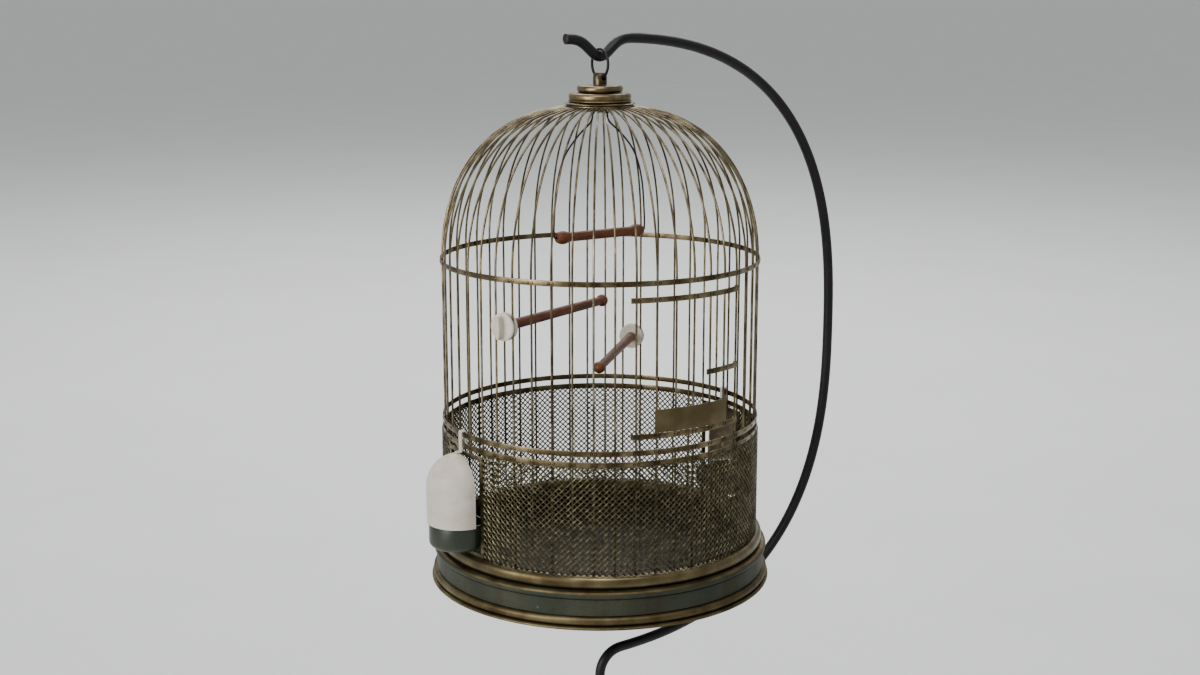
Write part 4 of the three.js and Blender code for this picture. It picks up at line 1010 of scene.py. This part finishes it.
def arm_line():
    """The arm's middle line: a dipped hook, most of a squarish oval, a small bend, a straight tail.

    The oval is |x / reach| ** n + |z / half height| ** n = 1, and the dip takes off
    17 * exp(-(x / 16.5) ** 2) round the pole's axis.
    """
    middle, half = (ARM_TOP + ARM_LOW) / 2, (ARM_TOP - ARM_LOW) / 2
    x = np.linspace(HOOK_TIP, HOOK_ROOT, 40)
    z = middle + half * (1 - np.abs(x / ARM_REACH) ** ARM_FULLNESS) ** (1 / ARM_FULLNESS)
    hook = np.stack([x, z - 17.0 * np.exp(-(x / 16.5) ** 2)], axis=-1)
    t = np.linspace(np.arccos((HOOK_ROOT / ARM_REACH) ** (ARM_FULLNESS / 2)),
                    -np.arccos((BEND_R / ARM_REACH) ** (ARM_FULLNESS / 2)), 90)[1:]
    across, up = squarish(t, 2 / ARM_FULLNESS)
    oval = np.stack([ARM_REACH * across, middle + half * up], axis=-1)
    a = np.radians(np.linspace(90, 180, 12))[1:]
    bend = np.stack([BEND_R + BEND_R * np.cos(a), BEND_Z + BEND_R * np.sin(a)], axis=-1)
    tail = np.stack([np.zeros(5), np.linspace(-440, ARM_END + 0.3, 5)], axis=-1)
    line = np.vstack([hook, oval, bend, tail])
    return np.stack([line[:, 0], 0 * line[:, 0], DATUM + line[:, 1]], axis=-1)


arm_lacquer = lacquered_iron("black stand lacquer", "#070709", "#231f1d", "#130b09", 0.46, 240.0)
arm_rod = rod(arm_line(), (0, 1, 0), ROD_R, 24, ends=0.4)
pole_foot = 17.3
pole_top = DATUM + ARM_END - 0.3
pole_outline = [[0, pole_foot + 0.1], [5.5, pole_foot + 0.1], [5.95, pole_foot + 0.6], [5.95, 220],
                [5.95, 520], [5.95, pole_top - 0.6], [5.5, pole_top - 0.1], [0, pole_top - 0.1]]
sleeve = [[6.35, -21.8], [8.2, -21.8], [8.9, -20.6], [8.9, -14.4], [8.4, -14.0], [8.4, -13.0],
          [8.9, -12.6], [8.9, 12.6], [8.4, 13.0], [8.4, 14.0], [8.9, 14.4], [8.9, 20.6], [8.2, 21.8],
          [5.4, 21.8], [5.4, 0.2], [6.35, 0.2]]
for name, node, rows, crease in (
    ("stand_arm_rod", "stand_arm", arm_rod, 80),
    ("stand_pole_tube", "stand_pole", turned(pole_outline, steps=40), 38),
    ("pole_sleeve", "pole_coupler", turned(sleeve, (0, 0, DATUM + ARM_END), 48, close=True), 38),
):
    stand_piece = put(name, [rows], arm_lacquer, crease)
    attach(stand_piece, "stand")
    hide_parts(node)


# Base: a heavy cast iron disc that rises to a boss, on a felt pad. A screw and washer from below
# pull the pole into the boss. The casting's skin is coarse under its paint.
cast_paint = lacquered_iron("painted cast iron", "#121213", "#3d3a36", "#1d1613", 0.5, 160.0)
casting_outline = np.array([
    [11.1, 2.4], [148.6, 2.4], [149.7, 3.4], [149.8, 8.0], [148.6, 9.3], [146.0, 10.25], [133.0, 13.6],
    [120.0, 16.1], [88.0, 18.7], [56.0, 20.3], [40.0, 21.7], [26.2, 23.2], [21.5, 25.0], [18.2, 27.6],
    [16.95, 29.8], [16.4, 33.0], [15.3, 37.4], [14.7, 38.1], [6.4, 38.2], [6.4, 17.2], [4.4, 17.0],
    [4.4, 11.1], [11.1, 11.0],
])
casting_rows = turned(casting_outline, steps=120, close=True)
casting = put("base_casting_painted", [casting_rows], cast_paint, crease=50)
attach(casting, "stand")
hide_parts("base_casting")


def pressed_felt():
    """Black felt: a fibre noise at 1 mm over a cloudy one at 25 mm, rough, with a little sheen."""
    material, tree, place = new_finish("pressed black felt")
    fibres = cloudy(tree, place, 1100, 0.35, 0.7, 5.0)
    lint = cloudy(tree, place, 42, 0.4, 0.7, most=0.4)
    colour = coloured(tree, "#161616", (fibres, "#2b2a28"), (lint, "#35332f"))
    bump = add(tree, "Bump", {"Height": fibres, "Strength": 0.6, "Distance": 0.0006})
    return surfaced(material, tree, {"Base Color": colour, "Roughness": 0.95,
                                     "Sheen Weight": 0.3, "Normal": bump})


felt_outline = [[0, 0.02], [145.4, 0.02], [145.9, 0.4], [145.9, 1.7], [145.5, 1.98], [0, 1.98]]
pad = put("base_pad_felt", [turned(felt_outline, steps=120)], pressed_felt())
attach(pad, "stand")
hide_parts("base_felt_pad")

screw_outline = [[0, 5.4], [3.2, 5.4], [3.2, 3.4], [6.4, 3.4], [6.95, 3.9], [6.95, 7.9], [6.5, 8.2],
                 [3.95, 8.25], [3.95, 38.6], [3.2, 39.2], [0, 39.2]]
washer_outline = rounded([[4.4, 8.65], [8.95, 8.65], [8.95, 9.95], [4.4, 9.95]], 0.3)
for name, node, rows in (
    ("base_screw_turned", "base_screw", turned(screw_outline, steps=32)),
    ("base_washer_pressed", "base_washer", turned(washer_outline, steps=48, close=True)),
):
    fastener = put(name, [rows], zinc_steel)
    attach(fastener, "stand")
    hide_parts(node)
